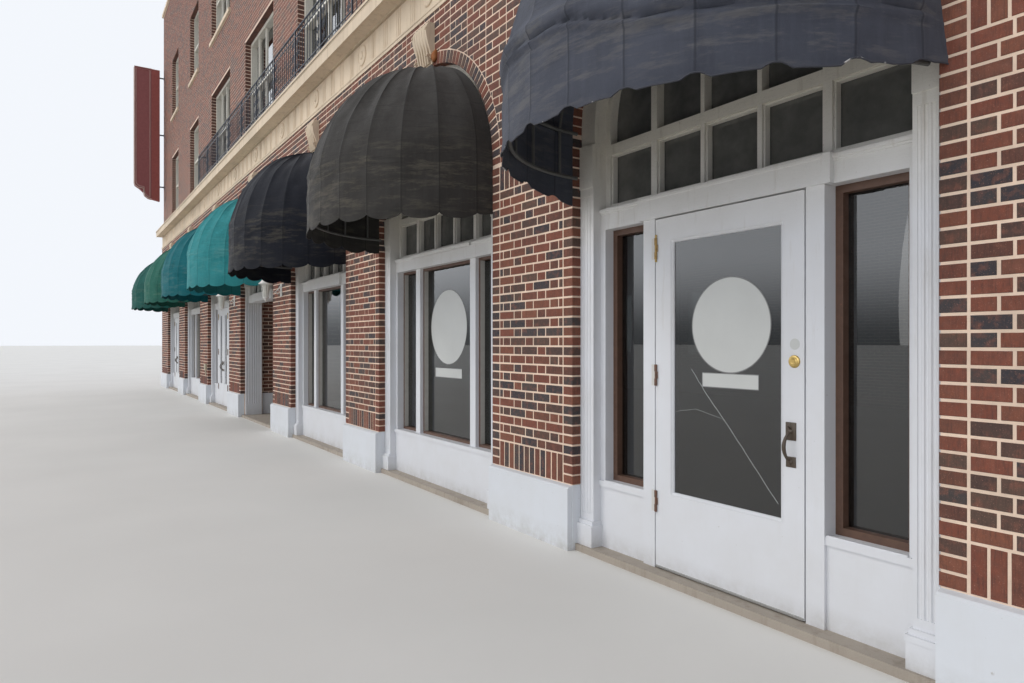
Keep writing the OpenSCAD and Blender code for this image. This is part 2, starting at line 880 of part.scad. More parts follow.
module lantern_glass() {
    color("lightblue")
        for (s = [-1, 1])
            translate([s * lantern_x, lantern_y, lantern_z + 30]) cylinder(h = glass_h, r = glass_r, $fn = 48);
}

ground_slab();
street_piers();
arch_wall();
pier_plinths();
keystones();
architrave();
frieze();
cornice();
upper_wall();
side_wall();
party_wall();
rear_wall();
coping();
upper_floors();
roof_deck();
shop_pilasters();
shop_frames();
shop_sashes();
shop_glass();
fanlights();
vestibule_walls();
vestibule_ceiling();
inner_doors();
door_hinges();
door_a();
door_a_glass();
door_a_hardware();
door_e_left();
door_e_left_glass();
door_e_left_hardware();
door_e_right();
door_e_right_glass();
door_e_right_hardware();
door_g_left();
door_g_left_glass();
door_g_left_hardware();
door_g_right();
door_g_right_glass();
door_g_right_hardware();
window_frames();
window_glass();
window_sills();
balcony_railing();
awnings();
awning_frames();
blade_sign();
lanterns();
lantern_glass();
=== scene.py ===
import json
import math
import random

import bmesh
import bpy
from mathutils import Matrix, Vector, noise

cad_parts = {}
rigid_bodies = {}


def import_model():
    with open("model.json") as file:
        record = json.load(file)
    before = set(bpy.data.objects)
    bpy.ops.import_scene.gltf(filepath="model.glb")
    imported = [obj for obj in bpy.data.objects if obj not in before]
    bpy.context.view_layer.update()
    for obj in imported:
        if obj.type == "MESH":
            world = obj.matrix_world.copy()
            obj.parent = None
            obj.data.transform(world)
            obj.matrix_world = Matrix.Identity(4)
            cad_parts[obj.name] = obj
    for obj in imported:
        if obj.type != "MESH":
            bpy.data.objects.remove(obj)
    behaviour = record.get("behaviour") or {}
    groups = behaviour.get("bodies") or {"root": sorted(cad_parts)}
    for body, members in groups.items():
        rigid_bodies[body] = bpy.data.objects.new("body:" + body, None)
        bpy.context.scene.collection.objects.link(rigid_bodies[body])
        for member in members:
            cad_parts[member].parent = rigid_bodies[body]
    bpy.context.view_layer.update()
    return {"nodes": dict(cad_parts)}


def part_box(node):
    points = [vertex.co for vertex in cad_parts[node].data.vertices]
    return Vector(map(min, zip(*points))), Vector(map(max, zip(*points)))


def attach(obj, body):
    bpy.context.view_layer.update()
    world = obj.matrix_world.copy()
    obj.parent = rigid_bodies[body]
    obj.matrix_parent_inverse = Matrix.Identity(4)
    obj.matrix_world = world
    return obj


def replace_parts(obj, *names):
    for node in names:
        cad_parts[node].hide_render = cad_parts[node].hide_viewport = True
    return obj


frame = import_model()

bl_info = {
    "name": "Corner Shop Building",
    "version": (1, 0, 0),
    "blender": (4, 5, 0),
    "location": "View3D > Sidebar > Shop",
    "description": "Brickwork, joinery, awnings and finishes for a corner shop building",
    "category": "Object",
}

# ---------------------------------------------------------------- sizes, in metres
BODY = "building"
BAYS = 7
NEAR = BAYS - 1                             # the bay by the camera
PITCH = 3.353                               # from the middle of a bay to the next
ARCH_R = 1.1685                             # clear radius of an arch
SPRING = 2.83                               # where the arches start
RING_INNER, RING_OUTER = 1.1655, 1.275      # the header ring round each arch
PLINTH_TOP = 0.44
ARCHITRAVE, CORNICE = 4.485, 4.874          # undersides of the stone courses
FLOOR_2 = 5.06                              # top of the cornice, and floor of the second storey
STOREY = 2.97
SILL_UP, HEAD_UP = 0.23, 1.99               # sills and heads of the windows above their floor
WINDOW_W, FRENCH_W = 1.265, 2.0
SETBACK = 0.05                              # how far the upper wall stands back
COURSE, MODULE, JOINT = 0.0677, 0.2032, 0.013
# From a bay's middle to the far side of a post, and to the near sides of a casing and of a pilaster
HALF_POST, HALF_CASE, HALF_PIL = 0.603, 0.9825, 1.0275
FAN = 2.311                                 # underside of the fanlights
# How far the joinery stands behind the bricks' face
D_PIL, D_BEAM, D_BULK, D_CASE, D_FAN, D_SASH = 0.068, 0.112, 0.130, 0.134, 0.178, 0.205
AWNING_R, DOME_RISE = 1.156, 1.121
FLATTEN = 0.072                             # how much less the dome stands out than its half width
DOME_OUT, DOME_UP = 1.03, 1.13              # powers that make the dome fuller than a sphere's quarter
HOOP, FREE_EDGE = 2.52, 2.42                # the lower hoop, and the plain dome's lower end
RIBS, RIB_0, RIB_STEP = 11, 8, 15           # the ribs of a dome, with the degrees to the first and between two
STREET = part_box("street_piers")[0].y        # the bricks' face
LEFT, RIGHT = (corner.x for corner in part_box("street_piers"))
WALL_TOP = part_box("upper_wall")[1].z
DOOR_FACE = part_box("door_a")[0].y


def bay_x(i):
    """The middle of a bay, counted from the far corner."""
    return (i - (BAYS - 1) / 2) * PITCH


def srgb(r, g, b):
    """A colour in linear light, from its screen values of 0 to 255."""
    return tuple(((c / 255 + 0.055) / 1.055) ** 2.4 if c > 10 else c / 255 / 12.92 for c in (r, g, b)) + (1.0,)


def shade(colour, factor):
    """The same colour, that much as bright."""
    return tuple(c * factor for c in colour[:3]) + (1.0,)


BRICK_TONES = [
    (125, 70, 53), (111, 64, 50), (132, 80, 60), (97, 59, 48), (58, 56, 59), (122, 68, 51),
    (86, 63, 54), (127, 75, 56), (65, 60, 59), (107, 66, 51), (48, 48, 54), (123, 67, 51),
    (89, 69, 59), (116, 70, 54), (75, 56, 50), (129, 72, 55),
]
WALL_BRICK = srgb(142, 88, 72), srgb(98, 66, 56), srgb(214, 186, 156)       # light, dark and mortar
LOBBY_BRICK = srgb(112, 68, 54), srgb(74, 54, 48), srgb(206, 184, 164)
AWNING_COLOURS = [srgb(10, 76, 70), srgb(30, 90, 78), srgb(0, 90, 98), srgb(40, 124, 128),
                  srgb(7, 11, 22), srgb(48, 46, 44), srgb(64, 67, 77)]


# ---------------------------------------------------------------- material helpers
class Finish:
    """A node material built step by step on one Principled shader."""

    def __init__(self, name):
        self.mat = bpy.data.materials.new(name)
        self.mat.use_nodes = True
        self.nodes, self.links = self.mat.node_tree.nodes, self.mat.node_tree.links
        self.shader = self.nodes["Principled BSDF"]
        self._coords = None

    def feed(self, socket, value):
        """Links another socket to this one, or sets it to a constant."""
        if isinstance(value, bpy.types.NodeSocket):
            self.links.new(value, socket)
        elif value is not None:
            socket.default_value = value

    def node(self, kind, inputs=None, **values):
        """A new node, with its inputs by name or number and its other values by name."""
        n = self.nodes.new(kind)
        for key, value in values.items():
            setattr(n, key, value)
        for key, value in (inputs or {}).items():
            self.feed(n.inputs[key], value)
        return n

    def coords(self):
        """The piece's own coordinates, which are the building's."""
        if self._coords is None:
            self._coords = self.node("ShaderNodeTexCoord").outputs["Object"]
        return self._coords

    def scaled(self, scale):
        """Coordinates stretched so that a pattern runs long along the axes with a small scale."""
        return self.node("ShaderNodeMapping", {"Scale": scale, "Vector": self.coords()}).outputs["Vector"]

    def place(self, axis):
        """The position along an axis, in metres."""
        return self.node("ShaderNodeSeparateXYZ", {0: self.coords()}).outputs[axis]

    def normal(self, axis):
        """How far a face looks along an axis, from -1 to 1."""
        vector = self.node("ShaderNodeNewGeometry").outputs["Normal"]
        return self.node("ShaderNodeSeparateXYZ", {0: vector}).outputs[axis]

    def facing(self, axis):
        """How squarely a face looks along an axis either way, from 0 to 1."""
        return self.maths("ABSOLUTE", self.normal(axis))

    def noise(self, scale, detail, rough, vector=None):
        """Cloudy grain round 0.5, with scale patches to the metre."""
        values = {"Scale": scale, "Detail": detail, "Roughness": rough, "Vector": vector or self.coords()}
        return self.node("ShaderNodeTexNoise", values).outputs["Fac"]

    def ramp(self, fac, colours):
        """Equal hard-edged bands of the colours, from 0 to 1."""
        n = self.node("ShaderNodeValToRGB", {"Fac": fac})
        ramp = n.color_ramp
        ramp.interpolation = "CONSTANT"
        while len(ramp.elements) < len(colours):
            ramp.elements.new(0.5)
        for k, (e, colour) in enumerate(zip(ramp.elements, colours)):
            e.position = k / len(colours)
            e.color = colour
        return n.outputs["Color"]

    def band(self, fac, low, high, a=0.0, b=1.0):
        """Turns low to high into a to b, and holds it beyond them."""
        values = {"Value": fac, "From Min": low, "From Max": high, "To Min": a, "To Max": b}
        return self.node("ShaderNodeMapRange", values, clamp=True).outputs["Result"]

    def maths(self, op, a, b=None):
        """One sum on sockets or numbers."""
        return self.node("ShaderNodeMath", {0: a, 1: b}, operation=op).outputs[0]

    def mix(self, fac, a, b):
        """Colour a, going over to b as fac goes from 0 to 1."""
        return self.node("ShaderNodeMix", {0: fac, 6: a, 7: b}, data_type="RGBA").outputs[2]

    def colour(self, socket):
        """Sets what the surface's colour comes from."""
        self.feed(self.shader.inputs["Base Color"], socket)

    def rough(self, value):
        """Sets the roughness, as a number or from a pattern."""
        self.feed(self.shader.inputs["Roughness"], value)

    def bump(self, height, strength, distance):
        """Raises the surface by a pattern, up to that distance in metres."""
        n = self.node("ShaderNodeBump", {"Strength": strength, "Distance": distance, "Height": height})
        self.feed(self.shader.inputs["Normal"], n.outputs["Normal"])

    def set(self, **values):
        """Sets other inputs of the shader by name."""
        for key, value in values.items():
            self.feed(self.shader.inputs[key.replace("_", " ")], value)


# ---------------------------------------------------------------- finishes
def brick_finish(name, wash=None, amount=0.0):
    """Wire-cut brick, with one of the tones on each brick and a pale wash over them where one is given."""
    f = Finish(name)
    tone = f.node("ShaderNodeAttribute", attribute_name="tone").outputs["Fac"]
    base = f.ramp(tone, [srgb(*t) for t in BRICK_TONES])
    mottle = f.noise(42, 6, 0.7)
    colour = f.mix(f.band(mottle, 0.36, 0.72, 0, 0.62), base, srgb(62, 44, 38))
    glow = f.band(f.noise(21, 4, 0.6), 0.5, 0.7, 0, 0.4)
    colour = f.mix(glow, colour, srgb(152, 92, 72))
    specks = f.band(f.noise(230, 3, 0.65), 0.6, 0.72, 0, 0.6)
    colour = f.mix(specks, colour, srgb(176, 128, 108))
    pits = f.band(f.noise(310, 3, 0.7), 0.6, 0.7, 0, 0.7)
    colour = f.mix(pits, colour, srgb(40, 30, 27))
    cuts = f.noise(150, 4, 0.7, f.scaled((1.0, 1.0, 0.1)))
    colour = f.mix(f.band(cuts, 0.48, 0.68, 0, 0.42), colour, srgb(46, 34, 32))
    if wash:
        colour = f.mix(amount, colour, wash)
    f.colour(colour)
    f.rough(f.band(mottle, 0.2, 0.8, 0.95, 0.7))
    f.bump(f.maths("ADD", f.maths("ADD", mottle, cuts), f.noise(420, 4, 0.7)), 0.55, 0.0015)
    return f.mat


def drawn_bricks(f, light, dark, mortar, along=None, gap=0.006, smooth=0.1, bias=0.0):
    """Courses of brick drawn along X and Y together, for faces that look either way, or along one of them."""
    across = f.place(along) if along else f.maths("ADD", f.place("X"), f.place("Y"))
    at = f.node("ShaderNodeCombineXYZ", {"X": across, "Y": f.place("Z")}).outputs[0]
    return f.node("ShaderNodeTexBrick", {
        "Vector": at, "Scale": 1.0, "Brick Width": MODULE, "Row Height": COURSE, "Mortar Size": gap,
        "Mortar Smooth": smooth, "Bias": bias, "Color1": light, "Color2": dark, "Mortar": mortar})


def mortar_finish(name, colour):
    """Sandy mortar, with courses of brick drawn on the two ends of the street wall."""
    f = Finish(name)
    grain = f.noise(300, 5, 0.7)
    patch = f.noise(3.0, 4, 0.6)
    c = f.mix(f.band(patch, 0.35, 0.7, 0, 1), colour, shade(colour, 0.72))
    c = f.mix(f.band(grain, 0.4, 0.8, 0, 0.4), c, shade(colour, 0.6))
    ends = f.band(f.maths("ABSOLUTE", f.place("X")), RIGHT - 0.02, RIGHT - 0.01)
    ends = f.maths("MULTIPLY", ends, f.band(f.facing("X"), 0.4, 0.6))
    f.colour(f.mix(ends, c, drawn_bricks(f, *WALL_BRICK).outputs["Color"]))
    f.rough(0.95)
    f.bump(grain, 0.7, 0.002)
    return f.mat


def reveal_finish(name, colour):
    """Mortar on the street face, and courses of brick on the reveals and soffits of the openings."""
    f = Finish(name)
    grain = f.noise(300, 5, 0.7)
    side = f.band(f.normal("Y"), -0.6, -0.4)
    course = f.maths("FRACT", f.maths("DIVIDE", f.maths("SUBTRACT", f.place("Z"), FLOOR_2), COURSE))
    joint = f.band(f.maths("ABSOLUTE", f.maths("SUBTRACT", course, 0.5)), 0.40, 0.42)
    tone = f.band(f.noise(9, 3, 0.6, f.scaled((1, 1, 1.6))), 0.35, 0.65)
    toothed = f.mix(joint, f.mix(tone, srgb(112, 74, 62), srgb(78, 56, 50)), colour)
    plain = f.mix(f.band(grain, 0.4, 0.8, 0, 0.4), colour, shade(colour, 0.6))
    f.colour(f.mix(side, plain, toothed))
    f.rough(0.95)
    f.bump(grain, 0.7, 0.002)
    return f.mat


def wall_brick_finish(name, along):
    """Weathered brick drawn on a wall plane, for the sides that the street doesn't face."""
    f = Finish(name)
    bricks = drawn_bricks(f, *WALL_BRICK, along=along, gap=0.005, smooth=0.15, bias=-0.1)
    mottle = f.noise(30, 5, 0.65)
    c = f.mix(f.band(mottle, 0.35, 0.75, 0, 0.4), bricks.outputs["Color"], (0.06, 0.035, 0.03, 1))
    streak = f.noise(1.6, 4, 0.6, f.scaled((1.0, 1.0, 0.12)))
    f.colour(f.mix(f.band(streak, 0.5, 0.75, 0, 0.35), c, (0.05, 0.04, 0.035, 1)))
    f.rough(0.88)
    face = f.maths("MULTIPLY", f.maths("SUBTRACT", 1.0, bricks.outputs["Fac"]), 2.0)
    f.bump(f.maths("ADD", face, f.maths("MULTIPLY", mottle, 0.4)), 0.8, 0.004)
    return f.mat


def vestibule_finish(name):
    """The lobby's brick sides over their painted plinth."""
    f = Finish(name)
    bricks = drawn_bricks(f, *LOBBY_BRICK)
    low = f.band(f.place("Z"), PLINTH_TOP, PLINTH_TOP + 0.004, 1.0, 0.0)
    f.colour(f.mix(low, bricks.outputs["Color"], srgb(214, 217, 222)))
    f.rough(0.85)
    f.bump(f.maths("SUBTRACT", 1.0, bricks.outputs["Fac"]), 0.6, 0.003)
    return f.mat


def paint_finish(name, low=(219, 221, 226), high=(224, 219, 206), peel=0.5, split=2.2):
    """White joinery paint: cleaner low down, cracked and peeling above the split. Its cool tone low down is painted
    bluish shade, and its creamier tone above is painted warm light.
    """
    f = Finish(name)
    z = f.place("Z")
    # the ramp from the low colour to the high one is painted light, bluish shade below and warmer light above; the same
    # ramp sets where the paint cracks and peels
    wear_and_light_tone = f.band(z, split - 0.25, split + 0.5)
    base = f.mix(wear_and_light_tone, srgb(*low), srgb(*high))
    cloud = f.noise(2.2, 5, 0.6)
    base = f.mix(f.band(cloud, 0.4, 0.75, 0, 0.22), base, srgb(190, 186, 178))
    streak = f.noise(7.0, 5, 0.65, f.scaled((3.2, 3.2, 0.35)))
    base = f.mix(f.maths("MULTIPLY", f.band(streak, 0.58, 0.8, 0, 0.4), f.band(z, 0.6, 2.6, 0.12, 1.0)),
                 base, srgb(152, 138, 114))
    chips = f.noise(46, 6, 0.72, f.scaled((1.0, 1.0, 0.55)))
    where = f.noise(1.7, 3, 0.5)
    mask = f.maths("MULTIPLY", f.band(chips, 0.64, 0.67), f.band(where, 0.48, 0.56))
    mask = f.maths("MULTIPLY", mask, f.maths("MULTIPLY", wear_and_light_tone, peel))
    base = f.mix(mask, base, srgb(122, 104, 84))
    splits = f.maths("SUBTRACT", f.noise(20, 6, 0.75, f.scaled((0.35, 1.0, 2.6))), 0.5)
    fine = f.band(f.maths("ABSOLUTE", splits), 0.0, 0.006, 1.0, 0.0)
    base = f.mix(f.maths("MULTIPLY", fine, f.maths("MULTIPLY", wear_and_light_tone, 0.55)), base, srgb(96, 84, 70))
    splash = f.maths("MULTIPLY", f.band(z, 0.0, 0.16, 0.55, 0.0), f.band(f.noise(9, 5, 0.7), 0.35, 0.7))
    base = f.mix(splash, base, srgb(150, 142, 128))
    specks = f.band(f.noise(34, 4, 0.6), 0.72, 0.76, 0, 0.5)
    base = f.mix(specks, base, srgb(150, 142, 132))
    f.colour(base)
    f.rough(f.band(cloud, 0.3, 0.7, 0.38, 0.6))
    grain = f.noise(24, 4, 0.6, f.scaled((4.0, 4.0, 0.3)))
    f.bump(f.maths("SUBTRACT", f.maths("MULTIPLY", grain, 0.5), mask), 0.35, 0.0012)
    return f.mat


def sash_finish(name):
    """Brown inner sashes with rusty edges, whose reveals are painted white beyond the near bay."""
    f = Finish(name)
    n = f.noise(18, 5, 0.65)
    brown = f.mix(f.band(n, 0.35, 0.75, 0, 0.5), srgb(94, 68, 54), srgb(62, 46, 38))
    brown = f.mix(f.band(f.noise(60, 5, 0.7), 0.6, 0.68, 0, 0.6), brown, srgb(126, 82, 58))
    white = f.mix(f.band(n, 0.35, 0.75, 0, 0.3), srgb(196, 194, 188), srgb(160, 154, 142))
    side = f.maths("MULTIPLY", f.band(f.facing("X"), 0.4, 0.6), f.band(f.place("X"), 8.3, 8.4, 0.9, 0.0))
    f.colour(f.mix(side, brown, white))
    f.rough(f.band(n, 0.3, 0.7, 0.45, 0.65))
    f.bump(f.noise(120, 4, 0.6, f.scaled((1, 1, 0.2))), 0.2, 0.0008)
    return f.mat


def hinge_finish(name):
    """Painted plates with bare knuckles: brass on the top hinge and rust on the others."""
    f = Finish(name)
    n = f.noise(90, 5, 0.7)
    rust = f.mix(f.band(n, 0.4, 0.65), srgb(112, 74, 54), srgb(70, 56, 48))
    brass = f.mix(f.band(n, 0.4, 0.7), srgb(176, 142, 78), srgb(112, 88, 52))
    bare = f.mix(f.band(f.place("Z"), 1.6, 1.62), rust, brass)
    plate = f.band(f.place("Y"), DOOR_FACE - 0.0055, DOOR_FACE - 0.0045)
    f.colour(f.mix(plate, bare, srgb(206, 204, 200)))
    f.rough(0.5)
    f.bump(n, 0.3, 0.0006)
    return f.mat


def stone_finish(name, base, stain):
    """Weathered stone with cloudy tones and stains that run down it."""
    f = Finish(name)
    cloud = f.noise(1.4, 6, 0.62)
    c = f.mix(f.band(cloud, 0.35, 0.72), base, shade(base, 0.8))
    streak = f.noise(5.5, 5, 0.65, f.scaled((2.4, 2.4, 0.22)))
    c = f.mix(f.band(streak, 0.52, 0.78, 0, 0.55), c, stain)
    grain = f.noise(150, 5, 0.7)
    f.colour(f.mix(f.band(grain, 0.5, 0.8, 0, 0.25), c, stain))
    f.rough(0.85)
    f.bump(f.maths("ADD", grain, f.maths("MULTIPLY", f.noise(24, 4, 0.6), 1.5)), 0.45, 0.002)
    return f.mat


def metal_paint_finish(name, colour, rough=0.45, rust=0.0):
    """Paint with uneven depth, and rust spots where asked for."""
    f = Finish(name)
    n = f.noise(18, 5, 0.65)
    c = f.mix(f.band(n, 0.35, 0.75, 0, 0.4), colour, shade(colour, 0.6))
    if rust:
        spots = f.band(f.noise(55, 5, 0.7), 0.6, 0.68, 0, rust)
        c = f.mix(spots, c, srgb(112, 62, 38))
    f.colour(c)
    f.rough(f.band(n, 0.3, 0.7, rough, rough + 0.2))
    f.bump(f.noise(160, 4, 0.6), 0.2, 0.0008)
    return f.mat


def metal_finish(name, colour, rough):
    """Bare metal with darker worn patches."""
    f = Finish(name)
    n = f.noise(40, 5, 0.65)
    f.set(Metallic=1.0)
    f.colour(f.mix(f.band(n, 0.45, 0.8, 0, 0.6), colour, shade(colour, 0.5)))
    f.rough(f.band(n, 0.3, 0.7, rough, rough + 0.25))
    f.bump(f.noise(200, 4, 0.6), 0.15, 0.0005)
    return f.mat


def glass_finish(name):
    """Old plate glass over dark rooms: clean low down, and under a film of dust in the street's fanlights."""
    f = Finish(name)
    z = f.place("Z")
    fan = f.maths("MULTIPLY", f.band(z, FAN, FAN + 0.02), f.band(z, CORNICE, CORNICE + 0.02, 1.0, 0.0))
    dusty = f.maths("MULTIPLY", fan, f.band(f.place("Y"), STREET + 0.5, STREET + 0.6, 1.0, 0.0))
    tint = (0.15, 0.165, 0.165, 1)
    clean = f.mix(f.band(f.noise(3.0, 5, 0.6), 0.4, 0.75), tint, shade(tint, 0.85))
    film = f.mix(f.band(f.noise(7.0, 5, 0.6), 0.3, 0.75), srgb(112, 112, 108), srgb(84, 84, 82))
    f.colour(f.mix(dusty, clean, film))
    f.set(IOR=1.8, Transmission_Weight=f.band(dusty, 0.0, 1.0, 1.0, 0.12))
    f.rough(f.band(dusty, 0.0, 1.0, 0.0, 0.22))
    return f.mat


def plain_finish(name, colour, rough):
    """An even colour with the faintest wear."""
    f = Finish(name)
    f.colour(f.mix(f.band(f.noise(3.0, 4, 0.6), 0.35, 0.7), colour, shade(colour, 0.94)))
    f.rough(rough)
    return f.mat


def binding_finish(name):
    """Dark edge tape frayed to its pale backing here and there."""
    f = Finish(name)
    worn = f.band(f.noise(5.0, 4, 0.7), 0.60, 0.63)
    f.colour(f.mix(worn, srgb(54, 56, 64), srgb(188, 188, 186)))
    f.rough(0.85)
    f.bump(f.noise(160, 3, 0.6), 0.4, 0.001)
    return f.mat


def rough_finish(name, colour, scale=6.0):
    """A matt surface in patches, for boards, felt, clay, the cornice's dark joint and painted shadow line, and broken
    edges.
    """
    f = Finish(name)
    f.colour(f.mix(f.band(f.noise(scale, 5, 0.6), 0.35, 0.7), colour, shade(colour, 0.78)))
    f.rough(0.85)
    f.bump(f.noise(120, 4, 0.6), 0.3, 0.001)
    return f.mat


def canvas_finish(name, colour):
    """Acrylic awning canvas: a fine weave, chalky fading on the crown and dust in the folds."""
    f = Finish(name)
    z = f.place("Z")
    light = tuple(min(1, c * 1.5 + 0.012) for c in colour[:3]) + (1.0,)
    dark = shade(colour, 0.5)
    tan = tuple(a * 0.7 + b * 0.3 for a, b in zip(light[:3], srgb(120, 112, 92)[:3])) + (1.0,)
    c = f.mix(f.band(f.noise(2.6, 5, 0.6), 0.4, 0.75, 0, 0.6), colour, light)
    c = f.mix(f.band(f.noise(5.5, 5, 0.65, f.scaled((1.4, 1.4, 0.4))), 0.5, 0.78, 0, 0.55), c, dark)
    blotch = f.maths("MULTIPLY", f.band(f.noise(9.0, 6, 0.7, f.scaled((1.0, 1.0, 1.6))), 0.52, 0.72),
                     f.band(z, SPRING - 0.25, SPRING + 0.35, 0.0, 0.55))
    c = f.mix(blotch, c, light)
    crease = f.band(f.noise(4.0, 6, 0.75, f.scaled((0.7, 0.7, 4.0))), 0.50, 0.64, 0, 0.75)
    slack = f.maths("MULTIPLY", f.band(z, SPRING - 0.62, SPRING - 0.3),
                    f.band(z, SPRING + 0.05, SPRING + 0.35, 1.0, 0.0))
    c = f.mix(f.maths("MULTIPLY", crease, slack), c, tan)
    lines = f.band(f.noise(6.0, 5, 0.7, f.scaled((0.6, 0.6, 9.0))), 0.54, 0.66, 0, 0.5)
    c = f.mix(f.maths("MULTIPLY", lines, f.band(z, HOOP, SPRING, 0.2, 1.0)), c, dark)
    down = f.noise(30.0, 4, 0.6, f.scaled((1.0, 1.0, 0.06)))
    c = f.mix(f.band(down, 0.5, 0.68, 0, 0.22), c, light)
    c = f.mix(f.band(z, HOOP + 0.02, HOOP - 0.06, 0, 0.25), c, dark)
    threads = f.noise(900, 2, 0.5, f.scaled((1.0, 1.0, 0.12)))
    c = f.mix(f.band(threads, 0.4, 0.7, 0, 0.22), c, light)
    specks = f.band(f.noise(90, 3, 0.7), 0.68, 0.76, 0, 0.25)
    c = f.mix(specks, c, light)
    seam = f.node("ShaderNodeAttribute", attribute_name="seam").outputs["Fac"]
    f.colour(f.mix(f.band(seam, 0.62, 0.9, 0, 0.65), c, dark))
    f.set(Sheen_Weight=0.06, Sheen_Roughness=0.5, Specular_IOR_Level=0.2)
    f.rough(0.86)
    weave = f.noise(700, 2, 0.5)
    raised = f.maths("MULTIPLY", f.band(seam, 0.3, 0.6), 2.0)
    cloth = f.maths("ADD", weave, f.maths("MULTIPLY", f.noise(16, 4, 0.6), 1.2))
    f.bump(f.maths("ADD", raised, cloth), 0.35, 0.0018)
    return f.mat


RECIPES = {
    "brick": (brick_finish, "brick_face"),
    "brick_upper": (brick_finish, "upper_brick_face", srgb(196, 158, 142), 0.16),
    "mortar": (mortar_finish, "cream_mortar", srgb(247, 221, 199)),
    "mortar_upper": (reveal_finish, "upper_mortar", srgb(226, 202, 184)),
    "wall_x": (wall_brick_finish, "rear_brick_wall", "X"),
    "wall_y": (wall_brick_finish, "side_brick_wall", "Y"),
    # the low and high colours given to paint_finish are painted light: a cool shade tone low down and a warmer lit tone
    # higher up
    "paint": (paint_finish, "white_joinery_paint"),
    "plinth": (paint_finish, "white_plinth_paint", (217, 221, 227), (224, 219, 206), 0.2),
    "window_paint": (paint_finish, "white_window_paint", (226, 224, 216), (226, 222, 210), 0.7, 4.0),
    "sash": (sash_finish, "brown_sash_paint"),
    "door_wood": (metal_paint_finish, "brown_door_paint", srgb(92, 66, 52), 0.5),
    "hinge": (hinge_finish, "hinge_plates"),
    "vestibule": (vestibule_finish, "vestibule_brick"),
    "frosted": (metal_paint_finish, "frosted_lantern_glass", srgb(214, 214, 206), 0.3),
    "stone": (stone_finish, "warm_limestone", srgb(226, 208, 184), srgb(158, 134, 104)),
    "concrete": (stone_finish, "sill_concrete", srgb(172, 162, 150), srgb(112, 98, 84)),
    "boards": (rough_finish, "floor_boards", srgb(120, 92, 66)),
    "felt": (rough_finish, "roof_felt", srgb(66, 66, 66), 2.0),
    "glass": (glass_finish, "shop_glass_clear"),
    "iron": (metal_paint_finish, "blue_black_iron", srgb(42, 48, 60), 0.4, 0.2),
    "tubes": (metal_paint_finish, "grey_frame_tubes", srgb(92, 92, 90), 0.5, 0.3),
    "bronze": (metal_paint_finish, "dark_bronze", srgb(74, 62, 50), 0.4, 0.1),
    "sign": (metal_paint_finish, "faded_red_sign", srgb(136, 76, 76), 0.5),
    "sign_band": (metal_paint_finish, "red_sign_band", srgb(146, 74, 68), 0.5),
    "pale_strip": (metal_paint_finish, "pale_sign_strip", srgb(214, 196, 186), 0.6),
    # joint: the dark line along the cornice, partly its joint and partly a painted shadow line
    "joint": (rough_finish, "dark_stone_joint", srgb(104, 88, 70), 30.0),
    "lantern": (metal_paint_finish, "white_lantern_paint", srgb(224, 224, 220), 0.4),
    "awning": (canvas_finish, "plain_canvas", srgb(40, 110, 100)),
    "binding": (binding_finish, "frayed_binding"),
    "brass": (metal_finish, "worn_brass", srgb(190, 164, 104), 0.3),
    "steel": (metal_finish, "dull_steel", srgb(168, 168, 166), 0.4),
    "decal": (plain_finish, "blank_decal", srgb(200, 202, 200), 0.4),
    "decal_edge": (plain_finish, "decal_rim", srgb(118, 118, 118), 0.4),
    "clay": (rough_finish, "fired_clay_patch", srgb(150, 92, 48), 30.0),
    "crack": (rough_finish, "cracked_glass_edge", srgb(214, 220, 216), 40.0),
    "outlet": (metal_paint_finish, "beige_outlet_box", srgb(196, 186, 164), 0.6),
}
MADE = {}


def finish(key):
    """The shared material of that key, made on first use."""
    if key not in MADE:
        make, *values = RECIPES[key]
        MADE[key] = make(*values)
    return MADE[key]


NODE_FINISH = {
    "ground_slab": "concrete", "street_piers": "mortar", "arch_wall": "mortar", "pier_plinths": "plinth",
    "keystones": "stone", "architrave": "stone", "frieze": "stone", "cornice": "stone",
    "upper_wall": "mortar_upper", "side_wall": "wall_y", "party_wall": "wall_y", "rear_wall": "wall_x",
    "coping": "stone", "upper_floors": "boards", "roof_deck": "felt", "shop_pilasters": "paint",
    "shop_frames": "paint", "shop_sashes": "sash", "shop_glass": "glass", "fanlights": "paint",
    "vestibule_walls": "vestibule", "vestibule_ceiling": "paint", "inner_doors": "door_wood",
    "window_frames": "window_paint", "window_glass": "glass", "window_sills": "stone",
    "balcony_railing": "iron", "awnings": "awning", "awning_frames": "iron", "blade_sign": "sign",
    "lanterns": "lantern", "lantern_glass": "glass", "door_hinges": "hinge",
}


# ---------------------------------------------------------------- mesh helpers
def new_object(name, bm, material=None, body=BODY):
    """Makes a mesh a piece that rides on a body."""
    mesh = bpy.data.meshes.new(name)
    bm.to_mesh(mesh)
    bm.free()
    obj = bpy.data.objects.new(name, mesh)
    bpy.context.scene.collection.objects.link(obj)
    if material:
        mesh.materials.append(material)
    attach(obj, body)
    return obj


def close(bm):
    """Merges what meets and turns every face outwards."""
    bmesh.ops.remove_doubles(bm, verts=bm.verts, dist=0.00002)
    bmesh.ops.recalc_face_normals(bm, faces=bm.faces)


def smooth(obj, angle):
    """Shades the piece smooth, apart from edges sharper than the angle."""
    for f in obj.data.polygons:
        f.use_smooth = True
    obj.data.set_sharp_from_angle(angle=math.radians(angle))
    return obj


def done(name, bm, key, body=BODY, sharp=None):
    """Closes a mesh and makes it a piece in that finish, shaded smooth where sharp gives an angle."""
    close(bm)
    obj = new_object(name, bm, finish(key), body)
    return smooth(obj, sharp) if sharp else obj


